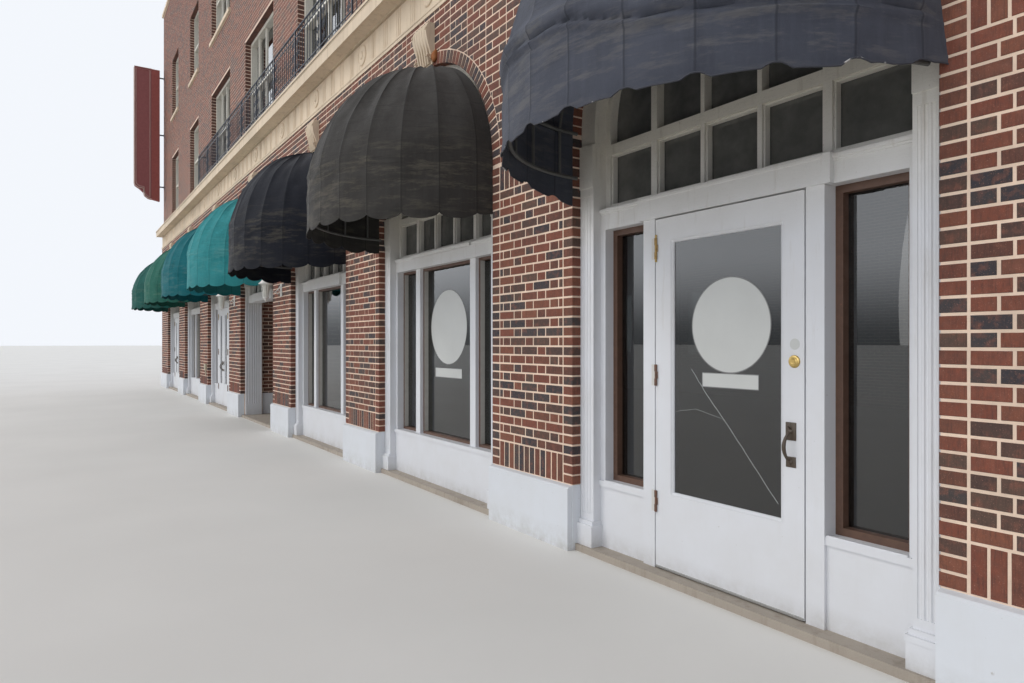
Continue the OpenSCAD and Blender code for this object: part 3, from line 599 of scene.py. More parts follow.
def add_box(bm, lo, hi):
    """A box between two corners; returns its points."""
    c = [(a + b) / 2 for a, b in zip(lo, hi)]
    s = [b - a for a, b in zip(lo, hi)]
    return bmesh.ops.create_cube(bm, size=1.0, matrix=Matrix.Translation(c) @ Matrix.Diagonal((*s, 1)))["verts"]


def bar(bm, lo, hi, bevel=0.0):
    """A straight bar with its edges eased."""
    vs = add_box(bm, lo, hi)
    if bevel:
        edges = list({e for v in vs for e in v.link_edges})
        bmesh.ops.bevel(bm, geom=edges, offset=bevel, segments=2, affect="EDGES", profile=0.5, material=-1)


def ring(bm, x0, x1, z0, z1, y0, y1, w, bevel=0.0):
    """Four bars round an opening from x0 to x1 and z0 to z1, w wide on its inner side."""
    bar(bm, (x0, y0, z0), (x0 + w, y1, z1), bevel)
    bar(bm, (x1 - w, y0, z0), (x1, y1, z1), bevel)
    bar(bm, (x0 + w, y0, z0), (x1 - w, y1, z0 + w), bevel)
    bar(bm, (x0 + w, y0, z1 - w), (x1 - w, y1, z1), bevel)


def tube(bm, points, radius, sides=8, taper=None):
    """A tube swept along points, with flat ends; taper gives a factor on the radius at each point."""
    pts = [Vector(p) for p in points]
    last = len(pts) - 1
    up = (pts[1] - pts[0]).normalized().orthogonal().normalized()
    loops = []
    for k, p in enumerate(pts):
        along = (pts[min(k + 1, last)] - pts[max(k - 1, 0)]).normalized()
        up = (up - along * up.dot(along)).normalized()
        turn = Matrix((along.cross(up), up, along)).transposed().to_4x4()
        r = radius * (taper[k] if taper else 1)
        made = bmesh.ops.create_circle(bm, segments=sides, radius=r, matrix=Matrix.Translation(p) @ turn)["verts"]
        loops.append(list({e for v in made for e in v.link_edges}))
    for a, b in zip(loops, loops[1:]):
        bmesh.ops.bridge_loops(bm, edges=a + b)
    for end in (loops[0], loops[-1]):
        bmesh.ops.contextual_create(bm, geom=end)


def lathe(bm, centre, profile, axis=(0, 0, 1), steps=24):
    """Turns (radius, along) points round an axis through centre."""
    ax = Vector(axis).normalized()
    side = ax.orthogonal().normalized()
    c = Vector(centre)
    vs = [bm.verts.new(c + side * r + ax * h) for r, h in profile]
    es = [bm.edges.new((a, b)) for a, b in zip(vs, vs[1:])]
    bmesh.ops.spin(bm, geom=vs + es, cent=c, axis=ax, angle=2 * math.pi, steps=steps, use_merge=True)


def along_knots(knots, at):
    """A curve eased through (where, height) knots, level beyond the last."""
    for (a, za), (b, zb) in zip(knots, knots[1:]):
        if at <= b:
            t = (at - a) / (b - a)
            return za + (zb - za) * t * t * (3 - 2 * t)
    return knots[-1][1]


# ---------------------------------------------------------------- brickwork
class BrickField:
    """Collects bricks as points with a kind, a turn, a stretch and a tone, and makes them one mesh."""

    KINDS = {"a_stretcher": (MODULE, COURSE, 0.02), "b_header": (MODULE / 2, COURSE, 0.02),
             "c_closer": (MODULE / 4, COURSE, 0.02), "d_jamb_header": (MODULE / 2, COURSE, 0.084)}
    STEPS = {"S": 1.0, "Q": 0.75, "H": 0.5, "C": 0.25}      # stretcher, three quarters, header, closer
    NEXT = {"S": "H", "Q": "H", "H": "S", "C": "H"}

    def __init__(self, name, seed, bevel, proud):
        self.name = name
        self.rng = random.Random(seed)
        self.bevel = bevel
        self.proud = proud
        self.rows = []

    def add(self, at, kind, stretch=(1, 1, 1), turn=(0, 0, 0)):
        """Sets down one brick, a hair out of place and of true."""
        r = self.rng
        wob = (r.uniform(-1, 1) * 0.0008, 0, r.uniform(-1, 1) * 0.0006)
        tilt = r.uniform(-1, 1) * 0.004
        self.rows.append((Vector(at) + Vector(wob), kind, stretch, (turn[0], turn[1] + tilt, turn[2]), r.random()))

    def run(self, x0, x1, z, y, first="S", clip=None, cut=None):
        """One course of alternating stretchers and headers from x0 to x1, its last bricks cut to fit."""
        x, step = x0, first
        while x < x1 - 0.012:
            w = min(MODULE * self.STEPS[step], x1 - x)
            if x1 - (x + w) < 0.03:
                w = x1 - x
            if cut is None or not cut(x, x + w, z):
                for a, b in (clip(x, x + w) if clip else [(x, x + w)]):
                    if b - a > 0.025:
                        kind = "a_stretcher" if b - a > 0.15 else "b_header" if b - a > 0.07 else "c_closer"
                        self.piece(a, b, z, y, kind)
            x += w
            step = self.NEXT[step]

    def piece(self, a, b, z, y, kind):
        """One brick from a to b, with half a joint left at each end."""
        self.add(((a + b) / 2, y, z), kind, ((b - a - JOINT) / (self.KINDS[kind][0] - JOINT), 1, 1))

    def units(self):
        """One mesh of each kind, open at the back."""
        made = []
        for kind, (w, h, depth) in self.KINDS.items():
            bm = bmesh.new()
            vs = bmesh.ops.create_cube(bm, size=1.0)["verts"]
            bmesh.ops.scale(bm, vec=(w - JOINT, depth, h - JOINT), verts=vs)
            bmesh.ops.translate(bm, vec=(0, depth / 2 - self.proud, 0), verts=vs)
            back = [f for f in bm.faces if f.normal.y > 0.5]
            bmesh.ops.delete(bm, geom=back, context="FACES_ONLY")
            if self.bevel:
                rim = [e for e in bm.edges if all(v.co.y < 0 for v in e.verts)]
                bmesh.ops.bevel(bm, geom=rim, offset=self.bevel, segments=1, affect="EDGES", profile=0.5, material=-1)
            mesh = bpy.data.meshes.new("unit_" + kind)
            bm.to_mesh(mesh)
            bm.free()
            made.append(bpy.data.objects.new("unit_" + kind, mesh))
        return made

    def points(self):
        """The bricks as a mesh of points, each with its kind, turn, stretch and tone."""
        bm = bmesh.new()
        layers = bm.verts.layers
        stretch_of, turn_of = layers.float_vector.new("stretch"), layers.float_vector.new("turn")
        tone_of, kind_of = layers.float.new("tone"), layers.int.new("kind")
        names = list(self.KINDS)
        for at, kind, stretch, turn, tone in self.rows:
            v = bm.verts.new(at)
            v[stretch_of] = Vector(stretch)
            v[turn_of] = Vector(turn)
            v[tone_of] = tone
            v[kind_of] = names.index(kind)
        mesh = bpy.data.meshes.new(self.name + "_points")
        bm.to_mesh(mesh)
        bm.free()
        holder = bpy.data.objects.new(self.name + "_points", mesh)
        bpy.context.scene.collection.objects.link(holder)
        return holder

    def laying_nodes(self, group):
        """Geometry nodes that put a unit on each point and make them one mesh."""
        tree = bpy.data.node_groups.new(self.name + "_nodes", "GeometryNodeTree")
        for way in ("INPUT", "OUTPUT"):
            tree.interface.new_socket("Geometry", in_out=way, socket_type="NodeSocketGeometry")
        new, link = tree.nodes.new, tree.links.new
        units = new("GeometryNodeCollectionInfo")
        units.inputs["Collection"].default_value = group
        units.inputs["Separate Children"].default_value = True
        units.inputs["Reset Children"].default_value = True

        def attribute(name, data_type):
            a = new("GeometryNodeInputNamedAttribute")
            a.data_type = data_type
            a.inputs["Name"].default_value = name
            return a.outputs["Attribute"]

        lay = new("GeometryNodeInstanceOnPoints")
        lay.inputs["Pick Instance"].default_value = True
        link(new("NodeGroupInput").outputs[0], lay.inputs["Points"])
        link(units.outputs[0], lay.inputs["Instance"])
        link(attribute("kind", "INT"), lay.inputs["Instance Index"])
        turn = new("FunctionNodeEulerToRotation")
        link(attribute("turn", "FLOAT_VECTOR"), turn.inputs[0])
        link(turn.outputs[0], lay.inputs["Rotation"])
        link(attribute("stretch", "FLOAT_VECTOR"), lay.inputs["Scale"])
        real = new("GeometryNodeRealizeInstances")
        link(lay.outputs[0], real.inputs[0])
        link(real.outputs[0], new("NodeGroupOutput").inputs[0])
        return tree

    def build(self, material, slot):
        """Lays the units on the points and keeps the result as one piece."""
        holder = self.points()
        group = bpy.data.collections.new(self.name + "_units")
        for u in self.units():
            group.objects.link(u)
        tree = self.laying_nodes(group)
        holder.modifiers.new("lay", "NODES").node_group = tree
        deps = bpy.context.evaluated_depsgraph_get()
        out = bpy.data.meshes.new_from_object(holder.evaluated_get(deps), preserve_all_data_layers=True, depsgraph=deps)
        out.name = self.name
        out.materials.clear()
        out.materials.append(material)
        obj = bpy.data.objects.new(self.name, out)
        bpy.context.scene.collection.objects.link(obj)
        for o in list(group.objects):
            bpy.data.objects.remove(o)
        bpy.data.collections.remove(group)
        bpy.data.objects.remove(holder)
        bpy.data.node_groups.remove(tree)
        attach(obj, BODY)


class RingCutter:
    """Cuts the spandrel bricks along the outside of the arch rings."""

    def __init__(self, name, seed, proud):
        self.name = name
        self.rng = random.Random(seed)
        self.proud = proud
        self.bm = bmesh.new()
        self.tone = self.bm.verts.layers.float.new("tone")
        self.r = RING_OUTER + JOINT * 0.75

    def __call__(self, a, b, z):
        """True where the brick from a to b meets a ring; what is left of it is kept as a cut brick."""
        lo, hi = z - COURSE / 2, z + COURSE / 2
        for i in range(BAYS):
            c = bay_x(i)
            if b <= c - self.r or a >= c + self.r:
                continue
            corners = [math.hypot(x - c, max(h - SPRING, 0)) for x in (a, b) for h in (lo, hi)]
            straddles = a < c < b
            near = min(corners + ([max(lo - SPRING, 0)] if straddles else []))
            if max(corners) <= self.r:
                return True
            if near < self.r:
                self.carve(a, b, z, c)
                return True
        return False

    def carve(self, a, b, z, c):
        """Cuts one brick where it meets the ring round c, and drops what is too small to lay."""
        bm = self.bm
        j = JOINT / 2
        new = add_box(bm, (a + j, STREET - self.proud, z - COURSE / 2 + j),
                      (b - j, STREET + 0.015, z + COURSE / 2 - j))
        out = Vector(((a + b) / 2 - c, 0, z - SPRING)).normalized()
        at = Vector((c, 0, SPRING)) + out * self.r
        geom = list(new) + list({e for v in new for e in v.link_edges}) + list({f for v in new for f in v.link_faces})
        res = bmesh.ops.bisect_plane(bm, geom=geom, plane_co=at, plane_no=-out, clear_outer=True)
        rim = [e for e in res["geom_cut"] if isinstance(e, bmesh.types.BMEdge)]
        if rim:
            bmesh.ops.contextual_create(bm, geom=rim)
        kept = set(res["geom"]) | set(res["geom_cut"])
        left = [v for v in kept if isinstance(v, bmesh.types.BMVert) and v.is_valid]
        if not left:
            return
        span = max(v.co.x for v in left) - min(v.co.x for v in left)
        rise = max(v.co.z for v in left) - min(v.co.z for v in left)
        if span < 0.018 or rise < 0.012:
            bmesh.ops.delete(bm, geom=left, context="VERTS")
            return
        t = self.rng.random()
        for v in left:
            v[self.tone] = t

    def build(self, material, slot):
        """Opens the cut bricks at the back and makes them one piece."""
        back = [f for f in self.bm.faces if f.normal.y > 0.9]
        bmesh.ops.delete(self.bm, geom=back, context="FACES_ONLY")
        new_object(self.name, self.bm, material)


def window_clip(z):
    """Returns a clip that keeps the upper bricks out of the windows at that height."""
    holes = []
    for i in range(BAYS):
        french = 1 < i < 5
        half = (FRENCH_W if french else WINDOW_W) / 2
        for storey in (0, 1):
            base = FLOOR_2 + storey * STOREY
            low = base + (0.06 if french and storey == 0 else SILL_UP)
            if z + COURSE / 2 > low + 0.02 and z - COURSE / 2 < base + HEAD_UP - 0.02:
                holes.append((bay_x(i) - half, bay_x(i) + half))

    def clip(a, b):
        spans = [(a, b)]
        for lo, hi in holes:
            sides = [side for p, q in spans for side in ((p, min(q, lo)), (max(p, hi), q))]
            spans = [(p, q) for p, q in sides if q > p]
        return spans
    return clip


# ---------------------------------------------------------------- settings
def canvas_colour(letter, i):
    """The colour setting of one bay's canvas."""
    return bpy.props.FloatVectorProperty(name="Awning " + letter, description="Canvas colour of bay " + letter,
                                         default=AWNING_COLOURS[i], size=4, min=0.0, max=1.0, subtype="COLOR")


class ShopSettings(bpy.types.PropertyGroup):
    brick_proud: bpy.props.FloatProperty(name="Brick proud", description="How far bricks stand out of the mortar",
                                         default=0.0035, min=0.0, max=0.02, subtype="DISTANCE", unit="LENGTH")
    gore_sag: bpy.props.FloatProperty(name="Gore sag", description="How far the canvas hangs in between two ribs",
                                      default=0.026, min=0.0, max=0.06, subtype="DISTANCE", unit="LENGTH")
    awning_a: canvas_colour("A", 6)
    awning_b: canvas_colour("B", 5)
    awning_c: canvas_colour("C", 4)
    awning_d: canvas_colour("D", 3)
    awning_e: canvas_colour("E", 2)
    awning_f: canvas_colour("F", 1)
    awning_g: canvas_colour("G", 0)


# ---------------------------------------------------------------- operators
class SHOP_OT_frame_finishes(bpy.types.Operator):
    """Gives every carried-over part its material"""
    bl_idname = "shop.frame_finishes"
    bl_label = "Finish the frame"

    def execute(self, context):
        for name, obj in frame["nodes"].items():
            key = NODE_FINISH.get(name)
            if key is None:
                key = "glass" if name.endswith("_glass") else "bronze" if name.endswith("_hardware") else "paint"
            if not obj.material_slots:
                raise RuntimeError(name + " has no material slot")
            for s in obj.material_slots:
                s.material = finish(key)
        return {"FINISHED"}


class SHOP_OT_street_bricks(bpy.types.Operator):
    """Lays the piers, spandrels and arch rings of the street front"""
    bl_idname = "shop.street_bricks"
    bl_label = "Street brickwork"

    SOLDIERS = 3        # courses that a band of upright bricks takes
    LIP = 0.005         # how far the jamb bricks wrap into a reveal
    RING_BRICKS = 60    # headers round one arch

    def execute(self, context):
        proud = context.scene.shop_settings.brick_proud
        field = BrickField("street_bricks", 11, 0.0025, proud)
        edges = [LEFT] + [v for i in range(BAYS) for v in (bay_x(i) - ARCH_R, bay_x(i) + ARCH_R)] + [RIGHT]
        for x0, x1 in zip(edges[::2], edges[1::2]):
            self.pier(field, x0, x1)
        cutter = RingCutter("arch_cut_bricks", 23, proud)
        z, row = SPRING + COURSE / 2, 0
        while z < ARCHITRAVE + COURSE / 2:
            field.run(LEFT, RIGHT, z, STREET, "S" if row % 2 else "H", cut=cutter)
            z += COURSE
            row += 1
        cutter.build(finish("brick"), "brick")
        length = (RING_OUTER - RING_INNER) / (MODULE / 2 - JOINT)
        r = (RING_OUTER + RING_INNER) / 2
        for i in range(BAYS):
            for k in range(self.RING_BRICKS):
                a = math.pi * (k + 0.5) / self.RING_BRICKS
                field.add((bay_x(i) + r * math.cos(a), STREET - 0.001, SPRING + r * math.sin(a)), "d_jamb_header",
                          (length, 1, 0.92), (0, -a, 0))
        field.build(finish("brick"), "brick")
        return {"FINISHED"}

    def pier(self, field, x0, x1):
        """A pier of stacked headers at its edges, bonded between them, with soldiers at its foot and head."""
        stack = MODULE / 2
        wrap = self.LIP + JOINT / 2
        ends = [(x0, "b_header") if x0 == LEFT else (x0 - wrap, "d_jamb_header"),
                (x1, "b_header") if x1 == RIGHT else (x1 + wrap, "d_jamb_header")]
        z = PLINTH_TOP + COURSE / 2
        rows = round((SPRING - 0.02 - PLINTH_TOP) / COURSE)
        for r in range(rows):
            field.piece(ends[0][0], x0 + stack, z, STREET, ends[0][1])
            field.piece(x1 - stack, ends[1][0], z, STREET, ends[1][1])
            if self.SOLDIERS <= r < rows - self.SOLDIERS:
                start = ("Q" if r % 2 else "H") if x1 == RIGHT else ("S" if r % 2 else "C")
                field.run(x0 + stack, x1 - stack, z, STREET, start)
            z += COURSE
        count = round((x1 - x0 - 2 * stack) / COURSE)
        w = (x1 - x0 - 2 * stack) / count
        for base in (PLINTH_TOP, PLINTH_TOP + (rows - self.SOLDIERS) * COURSE):
            for k in range(count):
                field.add((x0 + stack + (k + 0.5) * w, STREET, base + self.SOLDIERS / 2 * COURSE), "a_stretcher",
                          (1, 1, (w - JOINT) / (COURSE - JOINT)), (0, math.pi / 2, 0))


class SHOP_OT_upper_bricks(bpy.types.Operator):
    """Lays the upper street wall in two lots, the lower half and the upper half of its courses"""
    bl_idname = "shop.upper_bricks"
    bl_label = "Upper brickwork"

    def execute(self, context):
        proud = context.scene.shop_settings.brick_proud
        rows = int((WALL_TOP - FLOOR_2) / COURSE)
        for lot, (r0, r1) in enumerate(((0, rows // 2), (rows // 2, rows))):
            field = BrickField("upper_bricks_%d" % (lot + 2), 31 + lot, 0.0, proud)
            for r in range(r0, r1):
                z = FLOOR_2 + (r + 0.5) * COURSE
                field.run(LEFT, RIGHT, z, STREET + SETBACK, "S" if r % 2 else "H", clip=window_clip(z))
            field.build(finish("brick_upper"), "brick_upper")
        return {"FINISHED"}


# Height of the lower edge by the degrees round a dome, for the near awning and the others
EDGE_NEAR = [(0, 2.345), (9, 2.38), (20, 2.405), (30, 2.415), (100, 2.415), (125, 2.43), (150, 2.442), (165, 2.47),
             (180, 2.51)]
EDGE_OTHERS = [(0, 2.385), (12, 2.40), (30, 2.415), (150, 2.42), (168, 2.43), (180, 2.45)]
LONGER = {4: 0.08, 3: 0.07, 2: 0.03}        # how much lower some awnings hang
# Height of the crease where slack canvas rolls over the upper hoop, the same way
ROLL_NEAR = [(0, 2.86), (68, 2.852), (90, 2.83), (120, 2.712), (140, 2.69), (180, 2.70)]
ROLL_OTHERS = [(0, 2.93), (60, 2.90), (100, 2.86), (140, 2.84), (180, 2.80)]


def drop_of(i, deg):
    """Height of an awning's lower edge at that angle round its dome."""
    return along_knots(EDGE_NEAR if i == NEAR else EDGE_OTHERS, deg) - LONGER.get(i, 0.0)


def hill(x, width):
    """A rounded bump, 1 high at x = 0."""
    return math.exp(-(x / width) ** 2)


class SHOP_OT_awnings(bpy.types.Operator):
    """Sews a gored dome of canvas over each bay"""
    bl_idname = "shop.awnings"
    bl_label = "Awnings"

    def execute(self, context):
        settings = context.scene.shop_settings
        canvases = []
        for i, letter in zip(range(BAYS), "gfedcba"):
            obj = self.dome(i, "awning_canvas_" + letter, settings.gore_sag)
            obj.data.materials.append(canvas_finish("canvas_" + letter, tuple(getattr(settings, "awning_" + letter))))
            canvases.append(obj)
        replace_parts(canvases[0], "awnings")
        for i, (obj, letter) in enumerate(zip(canvases, "gfedcba")):
            edge = self.binding(i, "awning_binding_" + letter, obj)
            self.area(obj)
        return {"FINISHED"}

    @staticmethod
    def area(obj):
        """The canvas's area in square metres."""
        bm = bmesh.new()
        bm.from_mesh(obj.data)
        total = sum(f.calc_area() for f in bm.faces)
        bm.free()
        return round(total, 2)

    def dome(self, i, name, sag):
        """Spins a plain dome from its half outline, then lets each point of it sag."""
        bm = bmesh.new()
        seam = bm.verts.layers.float.new("seam")
        cx = bay_x(i)
        heights = [FREE_EDGE, 2.432, 2.45, 2.475, 2.50, HOOP] + [HOOP + 0.02 + 0.0145 * k for k in range(20)] + [SPRING]
        vs = [bm.verts.new((cx - AWNING_R, STREET, z)) for z in heights]
        steps = 42
        for k in range(1, steps + 1):
            a = math.pi / 2 * (k / steps) ** 1.15
            vs.append(bm.verts.new((cx - AWNING_R * math.cos(a), STREET, SPRING + AWNING_R * math.sin(a))))
        es = [bm.edges.new((a, b)) for a, b in zip(vs, vs[1:])]
        bmesh.ops.spin(bm, geom=vs + es, cent=(cx, STREET, 0), axis=(0, 0, 1), angle=math.pi, steps=180)
        bmesh.ops.remove_doubles(bm, verts=bm.verts, dist=0.0001)
        if min(v.co.y for v in bm.verts) > STREET - 0.5:
            raise RuntimeError("the dome was spun into the wall")
        for v in bm.verts:
            self.shape(v, seam, i, cx, sag)
        bmesh.ops.recalc_face_normals(bm, faces=bm.faces)
        low = [f for f in bm.faces if f.calc_center_median().y < STREET - 0.9 and f.calc_center_median().z < 2.8]
        if low and low[0].normal.y > 0:
            bmesh.ops.reverse_faces(bm, faces=bm.faces)
        return smooth(new_object(name, bm, None), 60)

    def shape(self, v, seam, i, cx, sag):
        """Moves a point of the plain dome to where the slack canvas hangs."""
        dx, dy = v.co.x - cx, max(STREET - v.co.y, 0.0)
        r = math.hypot(dx, dy)
        if r < 1e-4:
            v.co.z = SPRING + DOME_RISE
            return
        deg = math.degrees(math.atan2(dy, -dx))
        z = v.co.z
        a = math.atan2(z - SPRING, r) if z > SPRING else 0.0
        turn = math.sin(math.radians(deg))
        wall = min(1.0, min(deg, 180 - deg) / 12.0)
        edge = abs(math.cos(math.radians(deg))) ** 8
        r = (AWNING_R - FLATTEN * turn * turn + 0.008 * edge) * math.cos(a) ** (DOME_OUT - 0.05 * edge)
        h = DOME_RISE * math.sin(a) ** (DOME_UP - 0.13 * edge)
        # u runs from 0 on one rib to 1 on the next, and belly is 1 midway
        u = ((deg - RIB_0) / RIB_STEP) % 1.0
        belly = 4 * u * (1 - u)
        to_rib = min(u, 1 - u)
        v[seam] = max(0.0, 1 - to_rib * RIB_STEP)
        seed = i * 7.3
        wide = noise.noise(Vector((deg / 21 + seed, a * 1.6 + z * 0.4, seed)))
        fold = noise.noise(Vector((deg / 6.5 + seed * 2, a * 3.0 + z * 2.0 + deg / 60, seed + 5)))
        fine = noise.noise(Vector((deg / 17, z * 17.0 - deg * 0.045, seed + 9)))
        inward = 0.0
        if a > 0:
            up = math.sin(min(2 * a, math.pi)) ** 0.7
            inward += sag * belly * (0.15 + 0.85 * up) * (0.75 + 0.6 * wide)
            inward += (0.012 * wide + 0.009 * fold) * (0.2 + up) - 0.006 * hill(a - 0.32, 0.22) * fine
        inward += self.slump(i, deg, h + SPRING if a > 0 else z, wide, fine)
        if HOOP < z <= SPRING:
            t = (z - HOOP) / (SPRING - HOOP)
            calm = 0.45 if i == NEAR else 1.0
            inward += math.sin(math.pi * t) * (0.005 * belly + calm * (0.010 * fold + 0.003 * fine))
        if to_rib < 0.01:
            inward -= 0.003
        inward *= wall
        if z <= HOOP:
            t = (HOOP - z) / (HOOP - FREE_EDGE)
            off = to_rib * RIB_STEP / 2.3
            notch = math.sqrt(max(0.0, 1 - off * off)) if off < 1 else 0.0
            scallop = 0.024 * notch if i == NEAR else 0.012 - 0.046 * math.sin(math.pi * u) ** 0.6
            z = HOOP - (HOOP - drop_of(i, deg) - (scallop + 0.004 * belly * fold) * wall) * t
            inward = -t * (0.006 * belly + 0.010 * fold + 0.004) * wall
        if i == NEAR and deg > 166 and z < SPRING:
            r += 0.034 * (deg - 166) / 14 * min(1.0, (SPRING - z) / 0.3)
        rho = max(r - inward * math.cos(a), 0.0)
        top = SPRING + h - inward * math.sin(a) if a > 0 else z
        v.co = Vector((cx - rho * math.cos(math.radians(deg)), STREET - rho * turn, top))

    @staticmethod
    def slump(i, deg, z, wide, fine):
        """How far inward the canvas lies near the upper hoop, where it creases and rolls over."""
        near = i == NEAR
        off = z - (along_knots(ROLL_NEAR if near else ROLL_OTHERS, deg) + 0.010 * wide)
        depth = 1.0 if near else 0.55 - 0.35 * min(1.0, max(0.0, (deg - 60) / 80))
        fade = 1.0 if near else max(0.0, 1 - max(0, deg - 50) / 110)
        out = 0.024 * hill(off - 0.045, 0.042)
        crease = 0.016 * hill(off, 0.009)
        low = 0.015 * hill(off + 0.044, 0.008) * max(0.0, 1 - deg / 150)
        high = 0.012 * hill(off - 0.075 - deg * 0.0004, 0.010) * max(0.0, 1 - deg / 130)
        roll = -0.012 * hill(off + 0.022, 0.018)
        lively = max(0.0, 1 - max(0, deg - 20) / 75)
        ripples = fine * (0.009 + 0.008 * lively) * hill(off - 0.08, 0.16 if near else 0.24)
        return depth * (0.35 + 0.65 * fade) * (crease + low + high + roll - out) + ripples * (0.3 + fade)

    def binding(self, i, name, canvas):
        """A corded hem along the scallops."""
        low = {}
        for v in canvas.data.vertices:
            deg = round(math.degrees(math.atan2(max(STREET - v.co.y, 0.0), -(v.co.x - bay_x(i)))))
            if v.co.z < 2.56 and (deg not in low or v.co.z < low[deg].z):
                low[deg] = v.co.copy()
        bm = bmesh.new()
        tube(bm, [low[d] for d in sorted(low)], 0.0036, 6)
        close(bm)
        cloth = finish("binding") if i == NEAR else canvas.data.materials[0]
        return smooth(new_object(name, bm, cloth), 60)


class SHOP_OT_awning_frame(bpy.types.Operator):
    """Bends the tube frames under the canvas: two hoops, uprights and ribs"""
    bl_idname = "shop.awning_frame"
    bl_label = "Awning frames"

    @staticmethod
    def at(cx, deg, z, a, inside):
        """A point inside the canvas, at an angle round the dome and an angle up it."""
        t = math.sin(math.radians(deg))
        r = (AWNING_R - FLATTEN * t * t) * math.cos(a) ** DOME_OUT - inside * math.cos(a)
        return (cx - r * math.cos(math.radians(deg)), STREET - r * t, z)

    def execute(self, context):
        bm = bmesh.new()
        for i in range(BAYS):
            cx = bay_x(i)
            for z in (HOOP, SPRING - 0.01):
                hoop = [self.at(cx, d, max(z, drop_of(i, d) + 0.03), 0.0, 0.036) for d in range(0, 181, 6)]
                tube(bm, hoop, 0.0125, 8)
            for deg in [RIB_0 + RIB_STEP * k for k in range(RIBS)]:
                pts = [self.at(cx, deg, z, 0.0, 0.038) for z in (HOOP, 2.66, SPRING)]
                for step in range(10, 81, 10):
                    a = math.radians(step)
                    pts.append(self.at(cx, deg, SPRING + (DOME_RISE - 0.05) * math.sin(a) ** DOME_UP, a, 0.05))
                tube(bm, pts, 0.0095, 6)
        obj = done("awning_tubes", bm, "tubes", sharp=50)
        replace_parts(obj, "awning_frames")
        return {"FINISHED"}


# Each leaf's name, bay, hung side and whether it is a single door
DOORS = [("a", 6, -1, True), ("e_left", 2, -1, False), ("e_right", 2, 1, False), ("g_left", 0, -1, False),
         ("g_right", 0, 1, False)]
HINGE_HEIGHTS = (0.452, 1.216, 1.984)
EDGE, MEET = 0.498, 0.0015                  # a leaf's ends, out from the middle of its bay
STILE = 0.122
GLASS_LOW, GLASS_HIGH = 0.508, 2.025
PIN_IN, PIN_OUT = 0.009, 0.008              # the hinge pin, in from the leaf's edge and out from its face
KNUCKLE_R, KNUCKLE_UP = 0.0078, 0.0208      # radius and half height of a knuckle
OUTWARD = (0, -1, 0)


def door_span(i, side, single):
    """Where a leaf starts and ends across its bay."""
    cx = bay_x(i)
    if single:
        return cx - EDGE, cx + EDGE
    return (cx - EDGE, cx - MEET) if side < 0 else (cx + MEET, cx + EDGE)


